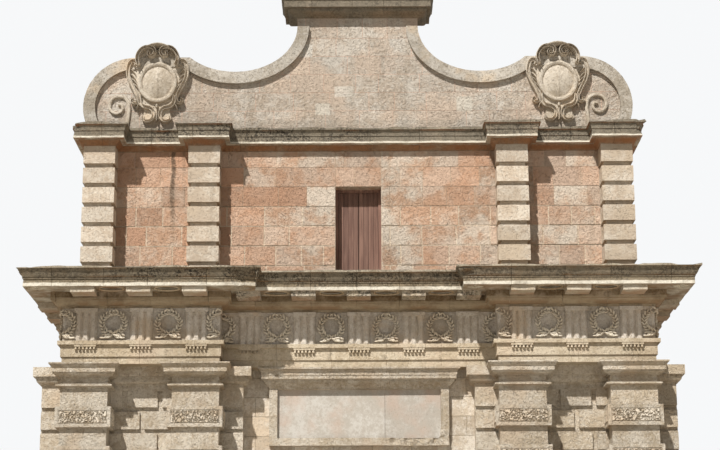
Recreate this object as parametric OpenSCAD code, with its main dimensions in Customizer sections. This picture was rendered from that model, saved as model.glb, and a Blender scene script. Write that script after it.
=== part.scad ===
// Baroque triumphal arch: paired banded Doric pilasters round one passage,
// a Doric entablature, a set-back attic and a gable with two scrolls.
// The front faces -Y, the origin is on the ground at the middle of the plan.

/* [Plan of the lower storey] */
// From the axis of the arch to the middle of each pair of pilasters
pair_x = 4530; // [4300:10:4900]
// From one pilaster of a pair to the other
pair_gap = 2300; // [2100:10:2500]
// Width of a pilaster shaft
shaft_w = 980; // [800:10:1050]
// How far a pilaster shaft stands out from the pier
shaft_out = 490; // [350:10:600]
// Width of the strip of pier that shows beside each pair
strip_w = 470; // [350:10:520]
// Depth of the piers, from the front face to the rear face
body_d = 4600; // [4200:50:6000]
// How far the wall over the passage lies behind the pier faces
wall_back = 360; // [200:10:450]

/* [Passage] */
// Clear width of the passage
passage_w = 3100; // [2700:50:3400]
// Height of plain wall between the keystone and the tablet
crown_gap = 410; // [300:10:600]
// How far the keystone rises over the archivolt
key_rise = 120; // [60:10:200]
// How far the keystone stands out from the archivolt
key_out = 120; // [60:10:200]
// Height of an impost
impost_h = 200; // [120:10:300]
// How far an impost stands out from the archivolt
impost_out = 60; // [30:5:100]
// Width of the archivolt round the opening
archivolt_w = 450; // [300:10:480]
// How far the archivolt stands out from the wall
archivolt_out = 120; // [60:10:200]
// Width of the keystone at its top
key_w = 620; // [400:10:700]

/* [Lower order] */
// From the ground to the top of the capitals
order_h = 7550; // [7400:10:7900]
// Height of the pedestals
pedestal_h = 1000; // [700:10:1050]
// How far a pedestal stands out from the shaft over it
pedestal_out = 160; // [100:10:180]
// Height of the moulded foot of a shaft
foot_h = 300; // [200:10:400]
// Height of one vermiculated band
band_h = 430; // [300:10:500]
// From one band to the next
band_pitch = 820; // [700:10:900]
// How far a band stands out from the shaft
band_out = 85; // [40:5:120]
// Width of the plain border round the worked panel of a band
band_rim = 75; // [50:5:110]
// Depth of the worked panel behind its border
panel_sink = 18; // [8:1:30]
// Height of a capital, with its neck and astragal
capital_h = 490; // [440:10:560]
// How far an abacus stands out from its shaft
abacus_out = 230; // [180:5:240]

/* [Channelled facing] */
// Height of the cap of the strip beside a pair
cap_h = 350; // [250:10:400]
// How far that cap stands out
cap_out = 170; // [100:5:200]
// Thickness of the facing on the ends of the piers
end_t = 120; // [90:5:200]
// Height of the plain plinth of the piers
plinth_h = 1150; // [900:10:1200]
// Height of one course with its joint
course_h = 460; // [400:10:520]
// From the middle of a bay to the upright joints of every other course
joint_x = 370; // [250:10:450]
// Width of a channel between two blocks
channel_w = 96; // [50:2:120]
// Depth of a channel
channel_d = 55; // [20:5:80]

/* [Tablet] */
// Width of the stone frame of the tablet
tablet_w = 3780; // [3400:10:3900]
// Height of the marble of the tablet
slab_h = 1030; // [700:10:1100]
// Width of the frame beside the marble
tablet_rim = 175; // [100:5:220]
// Height of the sill band under the marble
sill_h = 160; // [80:5:180]
// How far the frame stands out from the wall
tablet_out = 150; // [80:5:250]
// Height of the hood over the tablet
hood_h = 430; // [380:10:480]
// How far the hood stands out from the frame
hood_out = 235; // [120:5:240]

/* [Entablature] */
// How far the band over the architrave stands out
taenia_out = 90; // [60:5:120]
// Height of the strip that carries the drops
regula_h = 45; // [30:1:60]
// Height of a drop
gutta_h = 55; // [25:1:60]
// Height of the architrave
architrave_h = 480; // [400:10:560]
// Height of the frieze
frieze_h = 690; // [600:10:800]
// Height of the main cornice
cornice_h = 720; // [650:10:800]
// How far the main cornice stands out from the frieze
cornice_out = 880; // [800:10:960]
// Width of a triglyph
triglyph_w = 460; // [400:10:500]
// How far a triglyph stands out from the frieze
triglyph_out = 50; // [30:5:70]
// Radius of a wreath to the middle of its leaves
wreath_r = 215; // [160:5:230]
// Radius of the leaves round a wreath
leaf_r = 50; // [30:2:60]
// Width of a mutule
mutule_w = 510; // [440:10:560]
// Depth of the coffers in the soffit between the mutules
coffer_d = 50; // [20:5:60]

/* [Attic] */
// Height of the attic walls
attic_h = 3170; // [3000:10:3500]
// How far the attic piers lie behind the lower piers
attic_back = 550; // [450:10:700]
// Width of an attic pier
attic_pier_w = 700; // [500:10:800]
// How far an attic pier stands out from the attic wall
attic_pier_out = 480; // [300:10:520]
// Thickness of the attic walls
attic_wall_t = 450; // [350:10:500]
// From one groove of an attic pier to the next
groove_pitch = 445; // [380:5:500]
// Height of a groove in an attic pier
groove_h = 100; // [50:5:120]
// Depth of a groove in an attic pier
groove_d = 60; // [30:5:90]
// Height of the attic cornice
attic_cornice_h = 480; // [400:10:560]
// How far the attic cornice stands out from the piers
attic_cornice_out = 280; // [200:10:320]
// Thickness of the roof slab and of the attic floor
slab_t = 150; // [100:10:250]

/* [Doorway] */
// Width of the attic doorway
door_w = 1010; // [800:10:1200]
// Height of the attic doorway over the floor
door_h = 2200; // [2000:10:2400]
// How far the door leaves lie behind the wall face
door_back = 280; // [200:10:300]
// Thickness of a door leaf
leaf_t = 50; // [40:1:70]
// How far the door frame stands out from the leaves
frame_out = 20; // [5:1:40]
// Gap between the two leaves
leaf_gap = 4; // [2:1:10]
// Width of a timber of the door frame
frame_w = 60; // [50:1:90]

/* [Gable] */
// Thickness of the gable wall
gable_t = 500; // [400:10:600]
// How far the gable lies behind the attic pier faces
gable_back = 360; // [250:10:450]
// From the axis to the middle of each scroll
scroll_x = 4980; // [4900:10:5000]
// Height of the middle of each scroll over the attic cornice
scroll_z = 530; // [450:10:600]
// Outer radius of each scroll
scroll_r = 1140; // [1080:10:1180]
// Width of the raised coping band
coping_w = 270; // [200:10:320]
// How far the coping band stands out from the gable
coping_out = 60; // [30:5:100]
// From the axis to the lowest point of each sweep
dip_x = 2740; // [2700:10:2800]
// Height of the lowest point of each sweep over the attic cornice
dip_z = 1330; // [1200:10:1400]
// Half the width of each sweep
dip_a = 1385; // [1300:5:1420]
// Height of the half oval of each sweep
dip_b = 1080; // [1000:10:1150]
// Height of the neck over the attic cornice
neck_h = 2630; // [2560:10:2800]
// Height of the cornice on the neck
neck_cornice_h = 480; // [350:10:600]
// How far the cornice on the neck stands out
neck_cornice_out = 370; // [250:10:420]

/* [Cartouches] */
// How far the middle of each cartouche lies inside the middle of its scroll
cartouche_in = 495; // [480:5:520]
// Height of the middle of each cartouche over the attic cornice
cartouche_z = 1090; // [1080:10:1110]
// Radius of the raised ring round the bare field, to its outer edge
shield_r = 455; // [400:5:470]
// Thickness of the carving of a cartouche
cartouche_t = 180; // [120:5:220]
// Radius of the spiral beside each cartouche
spiral_r = 300; // [240:10:320]
// How far that spiral stands out from the gable
spiral_out = 45; // [20:5:60]

/* [Hidden] */

$fn = 48;
cream = "#d9c9a8";
grey = "#8f897b";
salmon = "#d9a679";
marble = "#d8d5cc";
timber = "#7d5a4e";

// Planes and heights worked out from the sizes above
pier_y = -body_d / 2;
pilaster_xs = [pair_x - pair_gap / 2, pair_x + pair_gap / 2];
pier_in = pilaster_xs[0] - shaft_w / 2 - strip_w;
pier_out = pilaster_xs[1] + shaft_w / 2 + strip_w;
break_in = pilaster_xs[0] - shaft_w / 2;
break_out = pilaster_xs[1] + shaft_w / 2;
wall_y = pier_y + wall_back;
frame_z1 = order_h - hood_h;
frame_z0 = frame_z1 - slab_h - sill_h;
key_top = frame_z0 - crown_gap;
spring_z = key_top - key_rise - archivolt_w - passage_w / 2;
shaft_z0 = pedestal_h + foot_h;
shaft_z1 = order_h - capital_h;
frieze_z = order_h + architrave_h;
cornice_z = frieze_z + frieze_h;
attic_z = cornice_z + cornice_h;
attic_top = attic_z + attic_h;
roof_z = attic_top + attic_cornice_h;
attic_pier_y = pier_y + attic_back;
attic_wall_y = attic_pier_y + attic_pier_out;
attic_x = pilaster_xs[1] + attic_pier_w / 2;
attic_end_x = attic_x - attic_pier_out / 2;
gable_y = attic_pier_y + gable_back;
pitch = pair_gap / 2;
bed_h = cornice_h * 0.29;
mutule_h = cornice_h * 0.155;
corona_h = cornice_h * 0.205;
mutule_z = cornice_z + bed_h;
corona_z = mutule_z + mutule_h;
bed_out = cornice_out * 0.27;
mutule_out = cornice_out * 0.78;
corona_out = cornice_out * 0.84;
overlap = 1;
reach = 3000;

// Curves of mouldings, each from [out, z] to [out, z]
function part_of(a, b, t) = a + (b - a) * t;
function cyma(a, b, n = 6) = [for (i = [0 : n])
    [part_of(a[0], b[0], i / n), part_of(a[1], b[1], (1 - cos(180 * i / n)) / 2)]];
function ogee(a, b, n = 6) = [for (i = [0 : n])
    [part_of(a[0], b[0], (1 - cos(180 * i / n)) / 2), part_of(a[1], b[1], i / n)]];
function ovolo(a, b, n = 5) = [for (i = [0 : n])
    [part_of(a[0], b[0], sin(90 * i / n)), part_of(a[1], b[1], 1 - cos(90 * i / n))]];
function cavetto(a, b, n = 5) = [for (i = [0 : n])
    [part_of(a[0], b[0], 1 - cos(90 * i / n)), part_of(a[1], b[1], sin(90 * i / n))]];
function back_to(list) = [for (i = [len(list) - 1 : -1 : 0]) list[i]];

// A block whose four sides all carry the same moulding, given from the bottom up
module moulded(prof, x0, x1, y0, y1) {
    across = concat([for (p = prof) [x1 + p[0], p[1]]],
        [for (p = back_to(prof)) [x0 - p[0], p[1]]]);
    along = concat([for (p = prof) [y1 + p[0], p[1]]],
        [for (p = back_to(prof)) [y0 - p[0], p[1]]]);
    intersection() {
        translate([0, y1 + reach, 0]) rotate([90, 0, 0])
            linear_extrude(y1 - y0 + 2 * reach) polygon(across);
        translate([x0 - reach, 0, 0]) rotate([90, 0, 90])
            linear_extrude(x1 - x0 + 2 * reach) polygon(along);
    }
}

// The same block with its back cut off flat at y1, as against a wall
module moulded_on_wall(prof, x0, x1, y0, y1) {
    intersection() {
        moulded(prof, x0, x1, y0, y1);
        translate([x0 - reach, y0 - reach, prof[0][1] - reach])
            cube([x1 - x0 + 2 * reach, y1 - y0 + reach, 4 * reach]);
    }
}

module block(x0, x1, y0, y1, z0, z1) {
    translate([x0, y0, z0]) cube([x1 - x0, y1 - y0, z1 - z0]);
}

// Turns a flat outline upright, and gives it a thickness towards the front
module upright(y, t) {
    translate([0, y, 0]) rotate([90, 0, 0]) linear_extrude(t) children();
}

// Draws its children at the front, or turned to the rear
module face(rear) {
    rotate([0, 0, rear ? 180 : 0]) children();
}

module side(s) {
    if (s < 0) mirror([1, 0, 0]) children();
    else children();
}

// Lower storey
module core(s) {
    color(cream) side(s) block(passage_w / 2, pier_out - end_t, wall_y, -wall_y, 0, order_h);
}

module arch_vault() {
    color(cream) difference() {
        block(-passage_w / 2, passage_w / 2, wall_y, -wall_y, spring_z, order_h);
        translate([0, -body_d, spring_z]) rotate([-90, 0, 0])
            cylinder(r = passage_w / 2, h = 2 * body_d, $fn = 96);
    }
}

channel_zs = [for (z = [plinth_h : course_h : shaft_z1]) z];
cap_z = order_h - cap_h;
cap_prof = concat([[0, cap_z]], ovolo([cap_out * 0.1, cap_z], [cap_out * 0.65, cap_z + cap_h * 0.3]),
    [[cap_out * 0.65, cap_z + cap_h * 0.43], [cap_out, cap_z + cap_h * 0.43], [cap_out, order_h]]);

// A pier with its cap, as solid as it would be before its channels are cut
module pier_body() {
    block(pier_in, pier_out, pier_y, -pier_y, 0, cap_z);
    moulded(cap_prof, pier_in, pier_out, pier_y, -pier_y);
}

module facing(s, rear) {
    color(cream) face(rear) side(rear ? -s : s) difference() {
        intersection() {
            pier_body();
            block(pier_in - reach, pier_out + reach, pier_y - reach, wall_y, 0, order_h);
        }
        for (z = channel_zs)
            block(pier_in - overlap, pier_out + overlap, pier_y - overlap, pier_y + channel_d,
                z - channel_w / 2, z + channel_w / 2);
        for (i = [0 : len(channel_zs) - 1])
            for (x = i % 2 == 0 ? [pair_x - joint_x, pair_x + joint_x] : [pair_x])
                block(x - channel_w / 2, x + channel_w / 2, pier_y - overlap, pier_y + channel_d,
                    channel_zs[i], min(channel_zs[i] + course_h, shaft_z1));
    }
}

module end_facing(s) {
    color(cream) side(s) difference() {
        intersection() {
            pier_body();
            block(pier_out - end_t, pier_out + reach, wall_y, -wall_y, 0, order_h);
        }
        for (z = channel_zs)
            block(pier_out - channel_d, pier_out + overlap, wall_y - overlap, -wall_y + overlap,
                z - channel_w / 2, z + channel_w / 2);
    }
}

pedestal_rim = pedestal_out * 0.4;
pedestal_prof = [[pedestal_rim, 0], [pedestal_rim, pedestal_h * 0.22], [0, pedestal_h * 0.28],
    [0, pedestal_h * 0.86], [pedestal_rim * 0.85, pedestal_h * 0.92], [pedestal_rim * 0.85, pedestal_h]];

module pedestal(x) {
    half = shaft_w / 2 + pedestal_out - pedestal_rim;
    moulded_on_wall(pedestal_prof, x - half, x + half,
        pier_y - shaft_out - pedestal_out + pedestal_rim, pier_y);
}

module pedestals(s) {
    color(cream) side(s) for (x = pilaster_xs, rear = [false, true])
        mirror([0, rear ? 1 : 0, 0]) pedestal(x);
}

foot_out = pedestal_out * 0.7;
foot_prof = concat([[foot_out, pedestal_h], [foot_out, pedestal_h + foot_h * 0.45]],
    ovolo([foot_out * 0.5, pedestal_h + foot_h * 0.45], [foot_out * 0.85, pedestal_h + foot_h * 0.62]),
    [[foot_out * 0.4, pedestal_h + foot_h * 0.8], [foot_out * 0.4, pedestal_h + foot_h * 0.86],
    [0, shaft_z0]]);

// Heights in the capital, as shares of its own height
function in_capital(t) = shaft_z1 + capital_h * t;
capital_prof = concat([[0, in_capital(-0.1)], [0, in_capital(0)],
    [abacus_out * 0.4, in_capital(0.04)], [abacus_out * 0.4, in_capital(0.1)],
    [abacus_out * 0.18, in_capital(0.14)], [0, in_capital(0.14)], [0, in_capital(0.43)],
    [abacus_out * 0.18, in_capital(0.43)], [abacus_out * 0.18, in_capital(0.48)]],
    ovolo([abacus_out * 0.28, in_capital(0.48)], [abacus_out * 0.62, in_capital(0.61)]),
    [[abacus_out * 0.72, in_capital(0.61)], [abacus_out * 0.72, in_capital(0.79)]],
    cyma([abacus_out * 0.76, in_capital(0.81)], [abacus_out * 0.97, in_capital(0.94)]),
    [[abacus_out, in_capital(0.94)], [abacus_out, order_h]]);

module pilaster(x) {
    y = pier_y - shaft_out;
    bands = floor((shaft_z1 - shaft_z0 - band_h) / band_pitch);
    block(x - shaft_w / 2, x + shaft_w / 2, y, pier_y, shaft_z0, shaft_z1);
    moulded_on_wall(foot_prof, x - shaft_w / 2, x + shaft_w / 2, y, pier_y);
    moulded_on_wall(capital_prof, x - shaft_w / 2, x + shaft_w / 2, y, pier_y);
    for (i = [0 : bands]) translate([x, y, shaft_z0 + i * band_pitch]) band();
}

module band() {
    w = shaft_w + 2 * band_out;
    difference() {
        translate([-w / 2, -band_out, 0]) cube([w, band_out + shaft_out, band_h]);
        translate([-w / 2 + band_rim, -band_out - overlap, band_rim])
            cube([w - 2 * band_rim, panel_sink + overlap, band_h - 2 * band_rim]);
    }
}

module front_pilaster(x) {
    color(cream) pilaster(x);
}

module rear_pilasters() {
    color(cream) face(true) for (x = pilaster_xs, s = [-1, 1]) side(s) pilaster(x);
}

module archivolt(rear) {
    r = passage_w / 2;
    w = archivolt_w;
    color(cream) face(rear) difference() {
        union() {
            translate([0, wall_y, spring_z]) rotate([90, 0, 0]) rotate_extrude(angle = 180, $fn = 96)
                polygon([[r, 0], [r, archivolt_out * 0.6], [r + w * 0.45, archivolt_out * 0.6],
                    [r + w * 0.5, archivolt_out * 0.8], [r + w * 0.8, archivolt_out * 0.8],
                    [r + w * 0.85, archivolt_out], [r + w, archivolt_out], [r + w, 0]]);
            for (s = [-1, 1]) side(s) {
                block(r, r + archivolt_w, wall_y - archivolt_out * 0.6, wall_y, 0, spring_z - impost_h);
                block(r, r + archivolt_w + impost_out, wall_y - archivolt_out - impost_out, wall_y,
                    spring_z - impost_h, spring_z);
            }
            upright(wall_y, archivolt_out + key_out) polygon([[-key_w * 0.36, spring_z + r * 0.9],
                [key_w * 0.36, spring_z + r * 0.9], [key_w / 2, key_top], [-key_w / 2, key_top]]);
        }
        translate([0, -body_d, spring_z]) rotate([-90, 0, 0])
            cylinder(r = r, h = 2 * body_d, $fn = 96);
    }
}

// Tablet over the passage
slab_x = tablet_w / 2 - tablet_rim;

module tablet_frame() {
    color(cream) difference() {
        block(-tablet_w / 2, tablet_w / 2, wall_y - tablet_out, wall_y, frame_z0, frame_z1);
        block(-slab_x, slab_x, wall_y - tablet_out - overlap, wall_y - tablet_out * 0.2,
            frame_z0 + sill_h, frame_z1 + overlap);
    }
}

module tablet_slab() {
    color(marble) block(-slab_x, slab_x, wall_y - tablet_out * 0.4, wall_y - tablet_out * 0.2,
        frame_z0 + sill_h, frame_z1);
}

module tablet_hood() {
    prof = concat([[0, frame_z1]], ogee([0, frame_z1], [hood_out * 0.5, frame_z1 + hood_h * 0.42]),
        [[hood_out * 0.68, frame_z1 + hood_h * 0.46], [hood_out * 0.68, frame_z1 + hood_h * 0.62]],
        cavetto([hood_out * 0.72, frame_z1 + hood_h * 0.62], [hood_out * 0.96, frame_z1 + hood_h * 0.92]),
        [[hood_out, frame_z1 + hood_h * 0.92], [hood_out, order_h]]);
    color(cream) moulded_on_wall(prof, -tablet_w / 2, tablet_w / 2, wall_y - tablet_out, wall_y);
}

// Entablature, whose courses all break forward over the pairs
module course(prof) {
    moulded(prof, -break_out, break_out, pier_y, -pier_y);
    for (s = [-1, 1]) side(s)
        moulded(prof, break_in, break_out, pier_y - shaft_out, -pier_y + shaft_out);
}

centre_xs = [-2, -1, 0, 1, 2] * pitch;
break_xs = [pilaster_xs[0], pair_x, pilaster_xs[1]];
side_ys = [-1.5, -0.5, 0.5, 1.5] * pitch;

// Puts its children on the frieze line wherever a triglyph stands
module at_triglyphs() {
    for (rear = [false, true]) face(rear) {
        for (x = centre_xs) translate([x, pier_y, 0]) children();
        for (x = break_xs, s = [-1, 1]) translate([s * x, pier_y - shaft_out, 0]) children();
    }
    for (y = side_ys, s = [-1, 1]) translate([s * break_out, y, 0]) rotate([0, 0, s * 90]) children();
}

taenia_h = architrave_h * 0.17;

module architrave() {
    z = order_h;
    color(cream) {
        course([[0, z], [0, z + architrave_h * 0.31], [taenia_out / 3, z + architrave_h * 0.31],
            [taenia_out / 3, frieze_z - taenia_h], [taenia_out, frieze_z - taenia_h],
            [taenia_out, frieze_z]]);
        at_triglyphs() regula();
    }
}

module regula() {
    z = frieze_z - taenia_h;
    block(-triglyph_w / 2, triglyph_w / 2, -taenia_out * 0.9, 0, z - regula_h, z + overlap);
    for (i = [0 : 5]) translate([(i - 2.5) * triglyph_w / 6, -taenia_out * 0.65, z - regula_h - gutta_h])
        cylinder(r1 = triglyph_w * 0.07, r2 = triglyph_w * 0.036, h = gutta_h + overlap, $fn = 16);
}

head_h = frieze_h * 0.115;
lip = triglyph_out / 4;

// A low band runs over the panels of the frieze, between the heads of the triglyphs
module frieze() {
    band_z = cornice_z - head_h;
    color(cream) difference() {
        course([[0, frieze_z], [0, band_z], [triglyph_out * 0.4, band_z], [triglyph_out * 0.4, cornice_z]]);
        at_triglyphs() block(-triglyph_w / 2 - lip, triglyph_w / 2 + lip, -triglyph_out, 0,
            band_z - overlap, cornice_z + overlap);
    }
}

module triglyph() {
    depth = triglyph_out * 1.3;
    difference() {
        union() {
            block(-triglyph_w / 2, triglyph_w / 2, -triglyph_out, 0, frieze_z, cornice_z);
            block(-triglyph_w / 2 - lip, triglyph_w / 2 + lip, -triglyph_out - lip, 0,
                cornice_z - head_h, cornice_z);
        }
        for (x = [-triglyph_w / 2, -triglyph_w / 6, triglyph_w / 6, triglyph_w / 2])
            translate([x, -triglyph_out, frieze_z - overlap]) rotate([0, 0, 45])
                translate([-depth / 2, -depth / 2, 0]) cube([depth, depth, frieze_h - head_h * 1.15]);
    }
}

module triglyphs() {
    color(cream) at_triglyphs() triglyph();
}

whole_wreaths = concat([for (x = [-1.5, -0.5, 0.5, 1.5]) [x * pitch, pier_y]],
    [for (s = [-1, 1], x = [pair_x - pitch / 2, pair_x + pitch / 2]) [s * x, pier_y - shaft_out]]);

module wreath(r) {
    rotate([90, 0, 0]) rotate_extrude() translate([r, 0]) intersection() {
        circle(leaf_r, $fn = 24);
        translate([-leaf_r, 0]) square([2 * leaf_r, leaf_r]);
    }
}

// Half of a smaller wreath, on the side of x that the sign of s gives
module half_wreath(s) {
    intersection() {
        wreath(wreath_r * 0.88);
        side(s) block(0, 2 * wreath_r, -2 * leaf_r, overlap, -2 * wreath_r, 2 * wreath_r);
    }
}

module wreaths() {
    color(cream) translate([0, 0, (frieze_z + cornice_z) / 2]) {
        for (p = whole_wreaths) translate([p[0], p[1], 0]) wreath(wreath_r);
        for (s = [-1, 1]) side(s) {
            translate([break_in, pier_y - shaft_out, 0]) half_wreath(1);
            translate([break_in, pier_y, 0]) half_wreath(-1);
            translate([break_out, pier_y - shaft_out, 0]) half_wreath(-1);
        }
    }
}

// Sinkings of the soffit: an oval between two mutules, a diamond with a boss at each corner
soffit_mid = (bed_out + corona_out) / 2;

module coffer() {
    translate([0, -soffit_mid, corona_z - overlap]) linear_extrude(coffer_d + overlap)
        polygon(oval((pitch - mutule_w) * 0.4, (corona_out - bed_out) * 0.42));
}

module corner_coffer(x, y) {
    half = (corona_out - bed_out) * 0.36;
    translate([x, y, corona_z - overlap]) difference() {
        linear_extrude(coffer_d * 0.8 + overlap) polygon([[half, 0], [0, half], [-half, 0], [0, -half]]);
        cylinder(r = half * 0.16, h = coffer_d + overlap);
    }
}

module coffers() {
    for (rear = [false, true]) face(rear) {
        for (x = [-1.5, -0.5, 0.5, 1.5] * pitch) translate([x, pier_y, 0]) coffer();
        for (s = [-1, 1], x = [pair_x - pitch / 2, pair_x + pitch / 2])
            translate([s * x, pier_y - shaft_out, 0]) coffer();
        for (s = [-1, 1], x = [break_in - soffit_mid, break_out + soffit_mid])
            corner_coffer(s * x, pier_y - shaft_out - soffit_mid);
    }
    for (y = [-1, 0, 1] * pitch, s = [-1, 1])
        translate([s * break_out, y, 0]) rotate([0, 0, s * 90]) coffer();
}

module main_cornice() {
    ovolo_z = mutule_z - bed_h * 0.3;
    cyma_out = corona_out + cornice_out * 0.017;
    cyma_z = corona_z + corona_h * 1.2;
    rim_z = attic_z - cornice_h * 0.0625;
    color(grey) difference() {
        course(concat([[0, cornice_z], [bed_out * 0.13, cornice_z],
            [bed_out * 0.13, cornice_z + bed_h * 0.25]],
            ovolo([bed_out * 0.19, cornice_z + bed_h * 0.25], [bed_out * 0.83, ovolo_z]),
            [[bed_out, ovolo_z], [bed_out, corona_z], [corona_out, corona_z],
            [corona_out, corona_z + corona_h], [cyma_out, corona_z + corona_h]],
            cyma([cyma_out, cyma_z], [cornice_out * 0.99, rim_z]),
            [[cornice_out, rim_z], [cornice_out, attic_z]]));
        coffers();
    }
}

module mutules() {
    color(cream) at_triglyphs()
        block(-mutule_w / 2, mutule_w / 2, -mutule_out, -bed_out, mutule_z, corona_z);
}

// Attic
module attic_floor() {
    color(cream) {
        block(-attic_end_x + attic_wall_t, attic_end_x - attic_wall_t,
            attic_wall_y + attic_wall_t, -attic_wall_y - attic_wall_t, attic_z, attic_z + slab_t);
        block(-door_w / 2, door_w / 2, attic_wall_y, attic_wall_y + attic_wall_t + overlap,
            attic_z, attic_z + slab_t);
    }
}

module attic_front_wall(s) {
    color(salmon) side(s) block(door_w / 2, attic_end_x, attic_wall_y, attic_wall_y + attic_wall_t,
        attic_z, attic_top);
}

module attic_lintel() {
    color(salmon) block(-door_w / 2, door_w / 2, attic_wall_y, attic_wall_y + attic_wall_t,
        attic_z + slab_t + door_h, attic_top);
}

module attic_rear_wall() {
    color(salmon) block(-attic_end_x, attic_end_x, -attic_wall_y - attic_wall_t, -attic_wall_y,
        attic_z, attic_top);
}

module attic_end(s) {
    color(salmon) side(s) block(attic_end_x - attic_wall_t, attic_end_x,
        attic_wall_y + attic_wall_t, -attic_wall_y - attic_wall_t, attic_z, attic_top);
}

module attic_pier(x) {
    outer = x > pair_x;
    back = attic_wall_y + (outer ? attic_wall_t : 0);
    difference() {
        block(x - attic_pier_w / 2, x + attic_pier_w / 2, attic_pier_y, back, attic_z, attic_top);
        if (outer) block(x - attic_pier_w / 2 - overlap, attic_end_x, attic_wall_y, back + overlap,
            attic_z - overlap, attic_top + overlap);
        for (z = [attic_top - groove_pitch : -groove_pitch : attic_z + groove_h])
            difference() {
                block(x - attic_pier_w, x + attic_pier_w, attic_pier_y - overlap, back + overlap,
                    z - groove_h / 2, z + groove_h / 2);
                block(x - attic_pier_w / 2 + groove_d, x + attic_pier_w / 2 - groove_d,
                    attic_pier_y + groove_d, back + 2 * overlap, z - groove_h, z + groove_h);
            }
    }
}

module front_attic_pier(s, x) {
    color(cream) side(s) attic_pier(x);
}

module rear_attic_piers() {
    color(cream) face(true) for (x = pilaster_xs, s = [-1, 1]) side(s) attic_pier(x);
}

function in_attic_cornice(t) = attic_top + attic_cornice_h * t;
attic_prof = concat([[0, attic_top]],
    ogee([attic_cornice_out * 0.07, attic_top], [attic_cornice_out * 0.4, in_attic_cornice(0.27)]),
    [[attic_cornice_out * 0.75, in_attic_cornice(0.27)], [attic_cornice_out * 0.75, in_attic_cornice(0.6)]],
    cavetto([attic_cornice_out * 0.8, in_attic_cornice(0.6)], [attic_cornice_out, in_attic_cornice(0.88)]),
    [[attic_cornice_out, roof_z]]);

module attic_cornice() {
    inner_x = attic_end_x - attic_wall_t;
    inner_y = attic_wall_y + attic_wall_t;
    color(grey) difference() {
        union() {
            moulded(attic_prof, -attic_end_x, attic_end_x, attic_wall_y, -attic_wall_y);
            for (x = pilaster_xs, s = [-1, 1])
                moulded(attic_prof, s * x - attic_pier_w / 2, s * x + attic_pier_w / 2,
                    attic_pier_y, -attic_pier_y);
        }
        block(-inner_x, inner_x, inner_y, -inner_y, attic_top - overlap, roof_z + overlap);
    }
}

module attic_roof() {
    color(grey) block(-attic_end_x + attic_wall_t, attic_end_x - attic_wall_t,
        attic_wall_y + attic_wall_t, -attic_wall_y - attic_wall_t, roof_z - slab_t, roof_z);
}

// Doorway
module door_frame() {
    y = attic_wall_y + door_back;
    z = attic_z + slab_t;
    color(timber) difference() {
        block(-door_w / 2, door_w / 2, y - frame_out, y + leaf_t, z, z + door_h);
        block(-door_w / 2 + frame_w, door_w / 2 - frame_w, y - frame_out - overlap,
            y + leaf_t + overlap, z - overlap, z + door_h - frame_w);
    }
}

module door_leaf(s) {
    z = attic_z + slab_t;
    color(timber) side(s) block(leaf_gap / 2, door_w / 2 - frame_w, attic_wall_y + door_back,
        attic_wall_y + door_back + leaf_t, z, z + door_h - frame_w);
}

// Gable
neck_x = dip_x - dip_a;
dip_steps = 20;
cartouche_x = scroll_x - cartouche_in;
shield_x = cartouche_x - shield_r * 1.6;
dip_end = acos((shield_x - dip_x) / dip_a);

// A point of the sweep, moved in by some distance square to the curve
function dip_point(angle, inset) = let (nx = cos(angle) / dip_a, nz = -sin(angle) / dip_b,
    len_n = sqrt(nx * nx + nz * nz)) [dip_x + dip_a * cos(angle) + inset * nx / len_n,
    roof_z + dip_z + dip_b - dip_b * sin(angle) + inset * nz / len_n];
function dip_curve(inset) = [for (i = [0 : dip_steps])
    dip_point(180 + (dip_end - 180) * i / dip_steps, inset)];

sweep_top = dip_point(dip_end, 0)[1];

module gable_wall() {
    color(cream) for (s = [-1, 1]) side(s) {
        upright(gable_y + gable_t, gable_t) polygon(concat([[-overlap, roof_z], [-overlap, roof_z + neck_h],
            [neck_x, roof_z + neck_h]], dip_curve(0), [[scroll_x, sweep_top], [scroll_x, roof_z]]));
        intersection() {
            upright(gable_y + gable_t, gable_t) translate([scroll_x, roof_z + scroll_z])
                circle(scroll_r, $fn = 96);
            block(scroll_x - overlap, scroll_x + scroll_r, gable_y - reach, reach, roof_z, roof_z + reach);
        }
    }
}

module coping_band(t) {
    upright(gable_y, t) polygon(concat(dip_curve(0), [[scroll_x, sweep_top],
        [scroll_x, sweep_top - coping_w]], back_to(dip_curve(coping_w))));
    intersection() {
        upright(gable_y, t) translate([scroll_x, roof_z + scroll_z]) difference() {
            circle(scroll_r, $fn = 96);
            circle(scroll_r - coping_w, $fn = 96);
        }
        block(scroll_x - overlap, scroll_x + scroll_r, gable_y - reach, gable_y, roof_z, roof_z + reach);
    }
}

module coping(s) {
    color(cream) side(s) coping_band(coping_out);
}

module neck_cornice() {
    z = roof_z + neck_h;
    out = neck_cornice_out;
    h = neck_cornice_h;
    color(grey) moulded(concat([[0, z]], ovolo([out * 0.2, z + h * 0.1], [out * 0.6, z + h * 0.35]),
        [[out * 0.8, z + h * 0.35], [out * 0.8, z + h * 0.6]],
        cyma([out * 0.8, z + h * 0.65], [out, z + h * 0.9]), [[out, z + h]]),
        -neck_x, neck_x, gable_y, gable_y + gable_t);
}

function oval(rx, rz, n = 32) = [for (i = [0 : n - 1]) [rx * cos(360 * i / n), rz * sin(360 * i / n)]];

// A tapering scroll round c, whose radius shrinks from r0 by the same share every degree
function curl_line(c, r0, a0, turn, shrink, n) = [for (i = [0 : n])
    let(d = turn * i / n, r = r0 * exp(-shrink * d)) c + r * [cos(a0 + d), sin(a0 + d)]];
function curl(c, r0, a0, turn, shrink, w, n = 24) = concat(
    curl_line(c, r0 * (1 + w), a0, turn, shrink, n),
    back_to(curl_line(c, r0 * (1 - w), a0, turn, shrink, n)));

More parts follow.
